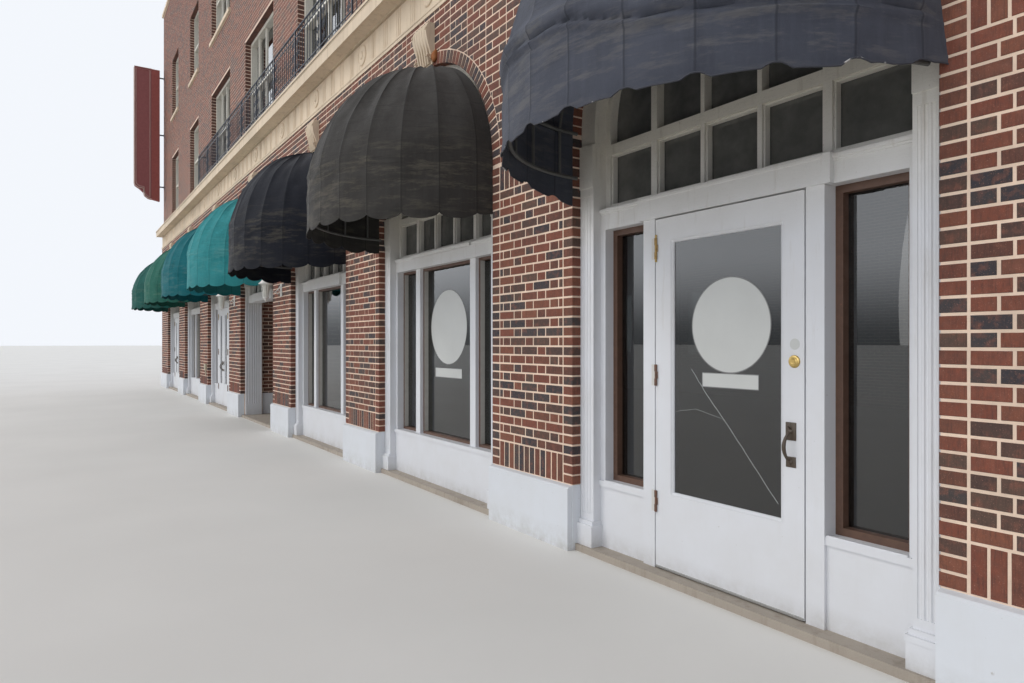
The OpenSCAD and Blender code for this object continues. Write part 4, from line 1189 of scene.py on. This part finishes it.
class SHOP_OT_door_furniture(bpy.types.Operator):
    """Fits hinges, pulls, the deadbolt and the glazing beads to the opening doors"""
    bl_idname = "shop.door_furniture"
    bl_label = "Door furniture"

    def execute(self, context):
        for letter, i, side, single in DOORS:
            body = "door_" + letter + "_leaf"
            x0, x1 = door_span(i, side, single)
            hung, free = (x0, x1) if side < 0 else (x1, x0)
            hinges = self.hinges("door_" + letter + "_hinge_leaves", body, hung, side)
            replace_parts(hinges, "door_" + letter + "_hardware")
            self.pull("door_" + letter + "_pull", body, free + side * 0.072)
            self.beads("door_" + letter + "_beads", body, x0 + STILE, x1 - STILE)
            if single:
                self.bolt(body, free - 0.054)
                self.hinge_tips(hung + PIN_IN)
                self.sweep(body, x0, x1)
        return {"FINISHED"}

    def hinges(self, name, body, x, side):
        """The leaf's knuckle of each hinge, with its wing bent back to the leaf."""
        bm = bmesh.new()
        pin = x - side * PIN_IN
        for z in HINGE_HEIGHTS:
            low, high = z - KNUCKLE_UP, z + KNUCKLE_UP
            lathe(bm, (pin, DOOR_FACE - PIN_OUT, low), [(0, 0), (KNUCKLE_R, 0), (KNUCKLE_R, 0.0416), (0, 0.0416)],
                  steps=20)
            for near, far, back in ((0.0, 0.012, -0.0065), (0.0105, 0.013, 0.001)):
                a, b = sorted((pin - side * near, pin - side * far))
                bar(bm, (a, DOOR_FACE - 0.0095, low), (b, DOOR_FACE + back, high), 0.0006)
        return done(name, bm, "hinge", body, sharp=40)

    def pull(self, name, body, x):
        """A bowed cast handle between an upper and a lower plate."""
        bm = bmesh.new()
        y, foot, head = DOOR_FACE - 0.0055, 0.822, 0.972
        for lo, hi, half in ((0.793, 0.846, 0.0270), (0.927, 1.017, 0.0285)):
            bar(bm, (x - half, y, lo), (x + half, DOOR_FACE + 0.0005, hi), 0.0018)
            for screw in (lo + 0.009, hi - 0.009):
                lathe(bm, (x, y, screw), [(0, 0.0026), (0.003, 0.0022), (0.0046, 0)], axis=OUTWARD, steps=12)
        points, taper = [], []
        for t in [k / 24 for k in range(25)]:
            bow = math.sin(math.pi * t)
            points.append((x - 0.006 * bow, DOOR_FACE - 0.004 - 0.048 * bow ** 0.55, head - 0.150 * t))
            taper.append(0.75 + 0.45 * bow ** 2)
        tube(bm, points, 0.0082, 12, taper)
        for z in (head, foot):
            lathe(bm, (x, y, z), [(0, 0.012), (0.008, 0.010), (0.0125, 0.004), (0.015, 0)], axis=OUTWARD, steps=20)
        thumb = [(x - 0.002, DOOR_FACE - 0.004 - 0.02 * math.sin(math.pi * t / 8), 0.985 + 0.004 * t) for t in range(5)]
        tube(bm, thumb, 0.005, 10)
        done(name, bm, "bronze", body, sharp=40)

    def bolt(self, body, x):
        """A turned brass deadbolt with its keyway, and the small blank label over it."""
        bm = bmesh.new()
        turned = [(0, 0.0135), (0.0095, 0.0135), (0.0105, 0.012), (0.0115, 0.0125), (0.0145, 0.0125),
                  (0.0175, 0.0105), (0.0215, 0.0105), (0.0235, 0.008), (0.029, 0.0065), (0.0315, 0.003), (0.032, 0)]
        lathe(bm, (x, DOOR_FACE, 1.319), turned, axis=OUTWARD, steps=48)
        bar(bm, (x - 0.0012, DOOR_FACE - 0.0142, 1.3135), (x + 0.0012, DOOR_FACE - 0.012, 1.3245))
        done("door_a_deadbolt", bm, "brass", body, sharp=30)
        bm = bmesh.new()
        lathe(bm, (x + 0.002, DOOR_FACE, 1.405), [(0, 0.0006), (0.0275, 0.0006), (0.028, 0)], axis=OUTWARD, steps=40)
        done("door_a_blank_label", bm, "decal", body)

    def hinge_tips(self, pin):
        """Turned tips over and under the top hinge, on the post's side."""
        bm = bmesh.new()
        tip = [(0.0055, -0.001), (0.0055, 0.003), (0.0035, 0.005), (0.006, 0.009), (0.0072, 0.013), (0.006, 0.017),
               (0, 0.0195)]
        for up in (-1, 1):
            profile = [(r, h * up) for r, h in tip]
            lathe(bm, (pin, DOOR_FACE - PIN_OUT, HINGE_HEIGHTS[-1] + up * 0.064), profile, steps=20)
        done("door_a_hinge_tips", bm, "brass", sharp=40)

    def sweep(self, body, x0, x1):
        """A worn metal strip along the foot of the leaf."""
        bm = bmesh.new()
        bar(bm, (x0 + 0.004, DOOR_FACE - 0.0035, 0.052), (x1 - 0.004, DOOR_FACE + 0.001, 0.066), 0.001)
        done("door_a_sweep", bm, "steel", body)

    def beads(self, name, body, x0, x1):
        """Beads that slope from the leaf's face down to the glass."""
        bm = bmesh.new()
        corners = [(x0, GLASS_LOW), (x1, GLASS_LOW), (x1, GLASS_HIGH), (x0, GLASS_HIGH)]

        def loop(grow, y):
            vs = [bm.verts.new((x + grow * (1 if x == x0 else -1), y, z + grow * (1 if z == GLASS_LOW else -1)))
                  for x, z in corners]
            return [bm.edges.new((vs[k], vs[(k + 1) % 4])) for k in range(4)]

        section = ((-0.004, 0.001), (-0.004, -0.0022), (0.001, -0.0022), (0.004, 0.002), (0.014, 0.010), (0.017, 0.019))
        loops = [loop(grow, DOOR_FACE + back) for grow, back in section]
        for a, b in zip(loops, loops[1:]):
            bmesh.ops.bridge_loops(bm, edges=a + b)
        close(bm)
        if sum(f.calc_area() * f.normal.y for f in bm.faces) > 0:
            bmesh.ops.reverse_faces(bm, faces=bm.faces)
        new_object(name, bm, finish("paint"), body)


class SHOP_OT_joinery_mouldings(bpy.types.Operator):
    """Planes the strip on each beam, the beads round the fanlight panes and the caps of the bulkheads"""
    bl_idname = "shop.joinery_mouldings"
    bl_label = "Joinery mouldings"

    ENTRY = 3                   # the bay with the walk-in entry has no beam
    NO_BULKHEAD = (1, 3, 4, 5)

    def execute(self, context):
        bm = bmesh.new()
        side_face, beam_face = STREET + D_CASE, STREET + D_BEAM
        for i in range(BAYS):
            cx = bay_x(i)
            if i != self.ENTRY:
                for x0, x1, y in ((-HALF_PIL, -HALF_POST, side_face), (-HALF_POST, HALF_POST, beam_face),
                                  (HALF_POST, HALF_PIL, side_face)):
                    bar(bm, (cx + x0, y - 0.016, 2.284), (cx + x1, y + 0.004, 2.306), 0.004)
                    bar(bm, (cx + x0, y - 0.008, 2.272), (cx + x1, y + 0.004, 2.285), 0.003)
            self.fan_beads(bm, cx)
            if i not in self.NO_BULKHEAD:
                for side in (-1, 1):
                    a, b = sorted((cx + side * (HALF_POST + 0.002), cx + side * (HALF_CASE - 0.002)))
                    bar(bm, (a, STREET + D_BULK - 0.010, 0.482), (b, STREET + D_BULK + 0.006, 0.496), 0.003)
        bmesh.ops.recalc_face_normals(bm, faces=bm.faces)
        new_object("joinery_mouldings", bm, finish("paint"))
        return {"FINISHED"}

    def fan_beads(self, bm, cx):
        """Beads in the lower row of fanlight panes, set back from the bars."""
        post = HALF_POST - 0.025
        outer, wide, thin = HALF_PIL - 0.045, 0.0245, 0.014
        panes = ((-outer, -post - wide), (-post + wide, -post / 3 - thin), (-post / 3 + thin, post / 3 - thin),
                 (post / 3 + thin, post - wide), (post + wide, outer))
        y = STREET + D_FAN
        for x0, x1 in panes:
            ring(bm, cx + x0, cx + x1, FAN + 0.023, 2.675, y + 0.014, y + 0.058, 0.011, 0.003)


class SHOP_OT_plinth_returns(bpy.types.Operator):
    """Turns the painted plinths into the reveals"""
    bl_idname = "shop.plinth_returns"
    bl_label = "Plinth returns"

    def execute(self, context):
        bm = bmesh.new()
        for i in range(BAYS):
            for side in (-1, 1):
                x = bay_x(i) + side * ARCH_R
                a, b = sorted((x, x - side * 0.006))
                bar(bm, (a, STREET - 0.004, 0.002), (b, STREET + D_PIL - 0.002, PLINTH_TOP + 0.002), 0.002)
        done("plinth_returns", bm, "plinth")
        return {"FINISHED"}


class SHOP_OT_stone_details(bpy.types.Operator):
    """Cuts the reeds and scrolls of the keystones, and lays the joint along the cornice as a dark strip that is also a
    painted shadow line
    """
    bl_idname = "shop.stone_details"
    bl_label = "Stone details"

    def execute(self, context):
        z0, z1 = SPRING + ARCH_R + 0.004, ARCHITRAVE - 0.11
        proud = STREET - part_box("keystones")[0].y
        bm = bmesh.new()
        for i in range(BAYS):
            cx = bay_x(i)
            for k in range(-2, 3):
                points = []
                for t in [j / 14 for j in range(15)]:
                    out = proud * (0.42 + 0.58 * t / 0.8) if t < 0.8 else proud - 0.025 * ((t - 0.8) / 0.2) ** 2
                    points.append((cx + k * 0.046 * (1 + 0.18 * t), STREET - min(out, proud) + 0.003,
                                   z0 + (z1 - z0) * t * 0.97 + 0.004))
                tube(bm, points, 0.0125, 8)
            for side in (-1, 1):
                self.scroll(bm, cx + side * 0.141, z1 - 0.075, 0.052)
                self.scroll(bm, cx + side * 0.126, z0 + 0.055, 0.032)
        done("keystone_reeds", bm, "stone", sharp=50)
        bm = bmesh.new()
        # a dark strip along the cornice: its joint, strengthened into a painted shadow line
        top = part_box("cornice")[0].y
        bar(bm, (LEFT + 0.002, top - 0.0006, FLOOR_2 - 0.046), (RIGHT - 0.002, top + 0.012, FLOOR_2 - 0.038))
        done("cornice_joints", bm, "joint")
        return {"FINISHED"}

    def scroll(self, bm, x, z, radius):
        """A volute of tapering cord wound on a keystone's side."""
        points, taper = [], []
        for t in [k / 33 for k in range(34)]:
            a = t * 4.2 * math.pi
            r = radius * (1 - t) ** 0.8
            points.append((x, STREET - 0.045 - r * math.cos(a), z + r * math.sin(a)))
            taper.append(1 - 0.5 * t)
        tube(bm, points, 0.008, 6, taper)


class SHOP_OT_balcony_railing(bpy.types.Operator):
    """Forges the balcony railing with its pickets, posts and scroll panels"""
    bl_idname = "shop.balcony_railing"
    bl_label = "Balcony railing"

    PICKETS = 90        # spaces along the front
    POST_EVERY = 10
    LOW_RAIL, HIGH_RAIL = 0.055, 0.09       # second rail above the bottom one, and third below the handrail

    def execute(self, context):
        lo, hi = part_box("balcony_railing")
        y = lo.y + 0.01
        wall = STREET + SETBACK
        bottom, top = FLOOR_2 + 0.09, hi.z - 0.012
        x0, x1 = lo.x + 0.012, hi.x - 0.012
        bm = bmesh.new()
        tube(bm, [(x0, y, top), (x1, y, top)], 0.012, 10)
        for z in (bottom, bottom + self.LOW_RAIL, top - self.HIGH_RAIL):
            bar(bm, (lo.x, y - 0.006, z - 0.008), (hi.x, y + 0.006, z + 0.008), 0.002)
        for x in (x0, x1):
            tube(bm, [(x, y, top), (x, wall, top)], 0.012, 10)
            bar(bm, (x - 0.008, y, bottom - 0.008), (x + 0.008, wall, bottom + 0.008), 0.002)
            for k in range(1, 3):
                tube(bm, [(x, y + (wall - y) * k / 3, bottom), (x, y + (wall - y) * k / 3, top)], 0.0065, 6)
        for k in range(self.PICKETS + 1):
            x = x0 + (hi.x - lo.x - 0.024) * k / self.PICKETS
            place = k % self.POST_EVERY
            if place == 0:
                bar(bm, (x - 0.011, y - 0.011, FLOOR_2), (x + 0.011, y + 0.011, top), 0.002)
                lathe(bm, (x, y, top), [(0.012, 0), (0.012, 0.004), (0, 0.012)], steps=12)
            elif place in (1, self.POST_EVERY - 1):
                self.panel(bm, x, y, bottom + self.LOW_RAIL, top - self.HIGH_RAIL)
            else:
                tube(bm, [(x, y, bottom), (x, y, top)], 0.0062, 6)
        obj = done("balcony_ironwork", bm, "iron", sharp=50)
        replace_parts(obj, "balcony_railing")
        return {"FINISHED"}

    def panel(self, bm, x, y, z0, z1):
        """Scrolls one over the other beside a post."""
        tube(bm, [(x, y, z0), (x, y, z1 + self.HIGH_RAIL)], 0.0062, 6)
        third = (z1 - z0) / 3
        for j in range(3):
            mid = z0 + (j + 0.5) * third
            for side in (-1, 1):
                points = []
                for t in [k / 14 for k in range(15)]:
                    a = t * 2 * math.pi
                    r = third * 0.30 * (1 - 0.5 * t)
                    points.append((x + side * (0.034 - r * 0.35 * math.cos(a)), y, mid + r * math.sin(a) * side))
                tube(bm, points, 0.004, 5)


class SHOP_OT_corner_sign(bpy.types.Operator):
    """Builds the bare blade sign with its stepped foot, edge strips and brackets"""
    bl_idname = "shop.corner_sign"
    bl_label = "Corner sign"

    THICK, INSET = 0.18, 0.012      # of the blade, and of its faces behind their strips

    def execute(self, context):
        lo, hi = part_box("blade_sign")
        x0, x1 = lo.x, lo.x + self.THICK
        near, out = STREET - 0.09, lo.y
        band, foot = near - 0.235, FLOOR_2 + 1.0
        wall = STREET + SETBACK
        faces = {"sign": [(band, foot + 0.02), (band - 0.09, foot + 0.04), (band - 0.19, foot + 0.11),
                          (band - 0.235, foot + 0.22), (band - 0.235, foot + 0.34), (out + 0.10, foot + 0.36),
                          (out + 0.02, foot + 0.42), (out, foot + 0.50), (out, hi.z), (band, hi.z)],
                 "sign_band": [(near, foot - 0.03), (band, foot + 0.02), (band, hi.z), (near, hi.z)]}
        pieces = []
        for key, outline in faces.items():
            bm = bmesh.new()
            vs = [bm.verts.new((x0 + self.INSET, y, z)) for y, z in outline]
            face = bmesh.ops.contextual_create(bm, geom=vs)["faces"][0]
            made = bmesh.ops.extrude_face_region(bm, geom=[face])["geom"]
            far = [v for v in made if isinstance(v, bmesh.types.BMVert)]
            bmesh.ops.translate(bm, vec=(x1 - x0 - 2 * self.INSET, 0, 0), verts=far)
            pieces.append(done("corner_" + key, bm, key))
        bm = bmesh.new()
        for side, x in ((-1, x0 + 0.008), (1, x1 - 0.008)):
            tube(bm, [(x, y, z) for y, z in faces["sign"]], 0.010, 6)
            inner = []
            for y, z in faces["sign"]:
                inside = band - 0.045 + (y - band + 0.045) * 0.9 if y < band - 0.05 else y - 0.05
                inner.append((x + side * 0.004, inside, z + (0.05 if z < foot + 1 else -0.06)))
            tube(bm, inner + [inner[0]], 0.006, 6)
        done("corner_sign_strips", bm, "pale_strip", sharp=50)
        bm = bmesh.new()
        for t in (0.1, 0.5, 0.94):
            z = foot + (hi.z - foot) * t + 0.03
            tube(bm, [(x0 + 0.09, near, z), (x0 + 0.09, wall, z)], 0.022, 10)
            bar(bm, (x0 + 0.04, wall - 0.012, z - 0.07), (x0 + 0.14, wall, z + 0.07), 0.003)
        done("corner_sign_brackets", bm, "iron", sharp=50)
        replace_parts(pieces[0], "blade_sign")
        return {"FINISHED"}


class SHOP_OT_glass_marks(bpy.types.Operator):
    """Sets the blank round labels, the blank strips and the crack on the shop glass"""
    bl_idname = "shop.glass_marks"
    bl_label = "Marks on the glass"

    FILM, RIM = 0.0008, 0.0009      # thickness of a label and of its rim
    RIM_W, STRIP_W = 0.006, 0.005   # width of the rim round a disc and round a strip

    def execute(self, context):
        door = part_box("door_a_glass")[0].y
        window = STREET + D_SASH + 0.046
        self.label("door_a", (10.095, door, 1.509), 0.265, (0.19, 0.042, 1.203), "door_a_leaf")
        self.label("window_b", (6.654, window, 1.566), 0.365, (0.27, 0.048, 1.119), BODY)
        self.crack(door - 0.0004)
        return {"FINISHED"}

    def label(self, name, centre, radius, strip, body):
        """A blank disc over a blank strip, each with a darker rim."""
        x, y, _ = centre
        w, h, sz = strip
        inner = radius - self.RIM_W
        bm = bmesh.new()
        lathe(bm, centre, [(0, self.FILM), (inner, self.FILM), (inner, 0)], axis=OUTWARD, steps=72)
        done(name + "_blank_disc", bm, "decal", body)
        bm = bmesh.new()
        lathe(bm, centre, [(inner, self.RIM), (radius, self.RIM), (radius, 0), (inner, 0), (inner, self.RIM)],
              axis=OUTWARD, steps=72)
        ring(bm, x - w, x + w, sz - h, sz + h, y - self.RIM, y, self.STRIP_W)
        done(name + "_decal_rims", bm, "decal_edge", body)
        bm = bmesh.new()
        w, h = w - self.STRIP_W, h - self.STRIP_W
        bar(bm, (x - w, y - self.FILM, sz - h), (x + w, y, sz + h))
        done(name + "_blank_strip", bm, "decal", body)

    def crack(self, y):
        """One long wavering crack down the door's glass, and a short one across it."""
        bm = bmesh.new()
        rng = random.Random(5)
        ends = [(9.826, 1.260), (9.93, 1.13), (10.101, 0.942), (10.25, 0.765), (10.400, 0.592)]
        points = []
        for (xa, za), (xb, zb) in zip(ends, ends[1:]):
            for t in [k / 6 for k in range(6)]:
                points.append((xa + (xb - xa) * t + rng.uniform(-1, 1) * 0.0016, y,
                               za + (zb - za) * t + rng.uniform(-1, 1) * 0.0016))
        tube(bm, points + [(ends[-1][0], y, ends[-1][1])], 0.0011, 5)
        tube(bm, [(9.70, y, 1.005), (9.86, y, 1.032), (10.06, y, 0.99)], 0.0006, 4)
        done("door_a_glass_crack", bm, "crack", "door_a_leaf")


class SHOP_OT_lanterns(bpy.types.Operator):
    """Turns the two coach lanterns with their scrolled brackets"""
    bl_idname = "shop.lanterns"
    bl_label = "Lanterns"

    OUT, DOWN = 0.24, 0.785     # a lantern's middle out from the bricks, and its foot below the arches' start
    FOOT = [(0, 0), (0.010, 0.003), (0.014, 0.012), (0.007, 0.024), (0.022, 0.034), (0.034, 0.046), (0.047, 0.056),
            (0.047, 0.070), (0.036, 0.072), (0, 0.072)]
    CAP = [(0, 0.262), (0.066, 0.262), (0.078, 0.266), (0.105, 0.268), (0.108, 0.274), (0.098, 0.284), (0.078, 0.300),
           (0.060, 0.326), (0.040, 0.346), (0.030, 0.352), (0.028, 0.364), (0.012, 0.372), (0.017, 0.386),
           (0.012, 0.398), (0.006, 0.408), (0, 0.425)]
    PANES = [(0, 0.070), (0.038, 0.070), (0.064, 0.264), (0, 0.264)]

    def execute(self, context):
        metal, panes = bmesh.new(), bmesh.new()
        y, z = STREET - self.OUT, SPRING - self.DOWN
        for x in (-PITCH / 2, PITCH / 2):
            lathe(metal, (x, y, z), self.FOOT, steps=30)
            lathe(metal, (x, y, z), self.CAP, steps=30)
            lathe(panes, (x, y, z), self.PANES, steps=6)
            for k in range(6):
                a = k * math.pi / 3 + 0.26
                tube(metal, [(x + r * math.cos(a), y + r * math.sin(a), z + up)
                             for r, up in ((0.041, 0.066), (0.068, 0.266))], 0.0045, 6)
            self.bracket(metal, x, z)
        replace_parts(done("coach_lanterns", metal, "lantern", sharp=40), "lanterns")
        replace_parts(done("coach_lantern_panes", panes, "frosted"), "lantern_glass")
        return {"FINISHED"}

    def bracket(self, bm, x, z):
        """A plate on the pier, a swept arm and a curl under it."""
        bar(bm, (x - 0.038, STREET - 0.014, z + 0.085), (x + 0.038, STREET, z + 0.285), 0.005)
        points, taper = [], []
        for t in [k / 29 for k in range(30)]:
            points.append((x, STREET - 0.012 - 0.172 * t ** 0.8, z + 0.245 - 0.10 * math.sin(math.pi * t) + 0.012 * t))
            taper.append(1.15 - 0.3 * t)
        tube(bm, points, 0.008, 8, taper)
        curl = []
        for a in [k / 20 * 7 for k in range(21)]:
            r = 0.040 * (1 - a / 9)
            curl.append((x, STREET - 0.059 + r * math.cos(a), z + 0.145 + r * math.sin(a)))
        tube(bm, curl, 0.0055, 6)


class SHOP_OT_wall_oddments(bpy.types.Operator):
    """Fixes the outlet box on a pier and the clay patch beside a keystone"""
    bl_idname = "shop.wall_oddments"
    bl_label = "Wall oddments"

    def execute(self, context):
        bm = bmesh.new()
        x = (bay_x(1) + bay_x(2)) / 2 + 0.36
        bar(bm, (x - 0.055, STREET - 0.045, 0.79), (x + 0.055, STREET - 0.002, 0.93), 0.008)
        bar(bm, (x - 0.048, STREET - 0.052, 0.80), (x + 0.048, STREET - 0.044, 0.92), 0.004)
        lathe(bm, (x, STREET - 0.025, 0.66), [(0, 0), (0.011, 0), (0.011, 0.135), (0, 0.135)], steps=14)
        done("outlet_box", bm, "outlet", sharp=40)
        bm = bmesh.new()
        c = Vector((bay_x(5) + 0.165, STREET - 0.012, SPRING + 1.235))
        lump = Matrix.Translation(c) @ Matrix.Diagonal((0.042, 0.030, 0.062, 1))
        bmesh.ops.create_icosphere(bm, subdivisions=3, radius=1.0, matrix=lump)
        for v in bm.verts:
            v.co += (v.co - c) * noise.noise(v.co * 26) * 0.5
        done("clay_patch", bm, "clay", sharp=60)
        return {"FINISHED"}


class SHOP_OT_stage(bpy.types.Operator):
    """Sets the floor, the soft light and the camera"""
    bl_idname = "shop.stage"
    bl_label = "Stage"

    HALF_FLOOR = 400
    SKY = (0.86, 0.90, 0.97, 1)             # what lights the building
    SHOWN_SKY = (0.90, 0.93, 0.98, 1)       # what the camera and the glass see
    # Each lamp's name, strength, spread in degrees, colour and turn in degrees
    LAMPS = (("soft_sun", 0.8, 24, (1.0, 0.96, 0.90), (48, 0, -30)),
             ("street_fill", 1.15, 70, (1.0, 0.99, 0.97), (88, 0, 8)))
    EYE_X, EYE_OUT, EYE_UP = 12.56, 2.932, 1.411        # the camera, out from the bricks' face
    EYE_TURN, LENS, SHIFT = 56.39, 24.16, 0.0014

    def execute(self, context):
        scene = context.scene
        bm = bmesh.new()
        bmesh.ops.create_grid(bm, x_segments=2, y_segments=2, size=self.HALF_FLOOR)
        floor = new_object("stage_floor", bm)
        f = Finish("pale_floor")
        f.colour(f.mix(f.band(f.noise(0.6, 3, 0.5), 0.3, 0.7), srgb(230, 228, 224), srgb(224, 222, 218)))
        f.rough(0.8)
        floor.data.materials.append(f.mat)
        self.sky(scene)
        for name, energy, spread, tint, turn in self.LAMPS:
            sun = bpy.data.lights.new(name, "SUN")
            sun.energy = energy
            sun.angle = math.radians(spread)
            sun.color = tint
            lamp = bpy.data.objects.new(name, sun)
            lamp.rotation_euler = [math.radians(v) for v in turn]
            scene.collection.objects.link(lamp)
        cam = bpy.data.cameras.new("street_camera")
        cam.sensor_width = 36
        cam.lens = self.LENS
        cam.shift_y = self.SHIFT
        cam.clip_end = 500
        eye = bpy.data.objects.new("street_camera", cam)
        eye.location = (self.EYE_X, STREET - self.EYE_OUT, self.EYE_UP)
        eye.rotation_euler = (math.radians(90), 0, math.radians(self.EYE_TURN))
        scene.collection.objects.link(eye)
        scene.camera = eye
        scene.view_settings.view_transform = "Standard"
        return {"FINISHED"}

    def sky(self, scene):
        """A dim sky for light, a plain one for the camera, and one that brightens upwards in the glass."""
        world = bpy.data.worlds.new("plain_sky")
        scene.world = world
        world.use_nodes = True
        nodes, link = world.node_tree.nodes, world.node_tree.links.new

        def background(colour, strength, node=None):
            n = node or nodes.new("ShaderNodeBackground")
            n.inputs["Color"].default_value = colour
            n.inputs["Strength"].default_value = strength
            return n

        def pick(fac, no, yes):
            n = nodes.new("ShaderNodeMixShader")
            for socket, source in zip(n.inputs, (fac, no, yes)):
                link(source, socket)
            return n.outputs[0]

        light = background(self.SKY, 0.64, nodes["Background"])
        shown = background(self.SHOWN_SKY, 1.0)
        mirrored = background(self.SHOWN_SKY, 1.0)
        up = nodes.new("ShaderNodeSeparateXYZ")
        link(nodes.new("ShaderNodeTexCoord").outputs["Generated"], up.inputs[0])
        rise = nodes.new("ShaderNodeMapRange")
        rise.interpolation_type = "SMOOTHSTEP"
        for key, value in (("From Min", 0.0), ("From Max", 0.13), ("To Min", 0.30), ("To Max", 2.0)):
            rise.inputs[key].default_value = value
        link(up.outputs["Z"], rise.inputs["Value"])
        link(rise.outputs["Result"], mirrored.inputs["Strength"])
        rays = nodes.new("ShaderNodeLightPath")
        seen = nodes.new("ShaderNodeMath")
        seen.operation = "MAXIMUM"
        link(rays.outputs["Is Camera Ray"], seen.inputs[0])
        link(rays.outputs["Is Transmission Ray"], seen.inputs[1])
        lit = pick(rays.outputs["Is Glossy Ray"], light.outputs[0], mirrored.outputs[0])
        link(pick(seen.outputs[0], lit, shown.outputs[0]), nodes["World Output"].inputs["Surface"])


class SHOP_PT_panel(bpy.types.Panel):
    """Lists the building's pieces in the sidebar"""
    bl_idname = "SHOP_PT_panel"
    bl_label = "Corner Shop Building"
    bl_space_type = "VIEW_3D"
    bl_region_type = "UI"
    bl_category = "Shop"

    def draw(self, context):
        settings = context.scene.shop_settings
        for key in ("brick_proud", "gore_sag", *("awning_" + letter for letter in "abcdefg")):
            self.layout.prop(settings, key)
        for op in OPERATORS:
            self.layout.operator(op.bl_idname)


OPERATORS = [SHOP_OT_stage, SHOP_OT_frame_finishes, SHOP_OT_street_bricks, SHOP_OT_upper_bricks, SHOP_OT_awnings,
             SHOP_OT_awning_frame, SHOP_OT_door_furniture, SHOP_OT_joinery_mouldings, SHOP_OT_plinth_returns,
             SHOP_OT_stone_details, SHOP_OT_balcony_railing, SHOP_OT_corner_sign, SHOP_OT_glass_marks,
             SHOP_OT_lanterns, SHOP_OT_wall_oddments]
CLASSES = [ShopSettings] + OPERATORS + [SHOP_PT_panel]


def register():
    for c in CLASSES:
        bpy.utils.register_class(c)
    bpy.types.Scene.shop_settings = bpy.props.PointerProperty(type=ShopSettings)


def unregister():
    del bpy.types.Scene.shop_settings
    for c in reversed(CLASSES):
        bpy.utils.unregister_class(c)


def main():
    register()
    for op in OPERATORS:
        group, name = op.bl_idname.split(".")
        getattr(getattr(bpy.ops, group), name)()


if __name__ == "__main__":
    main()
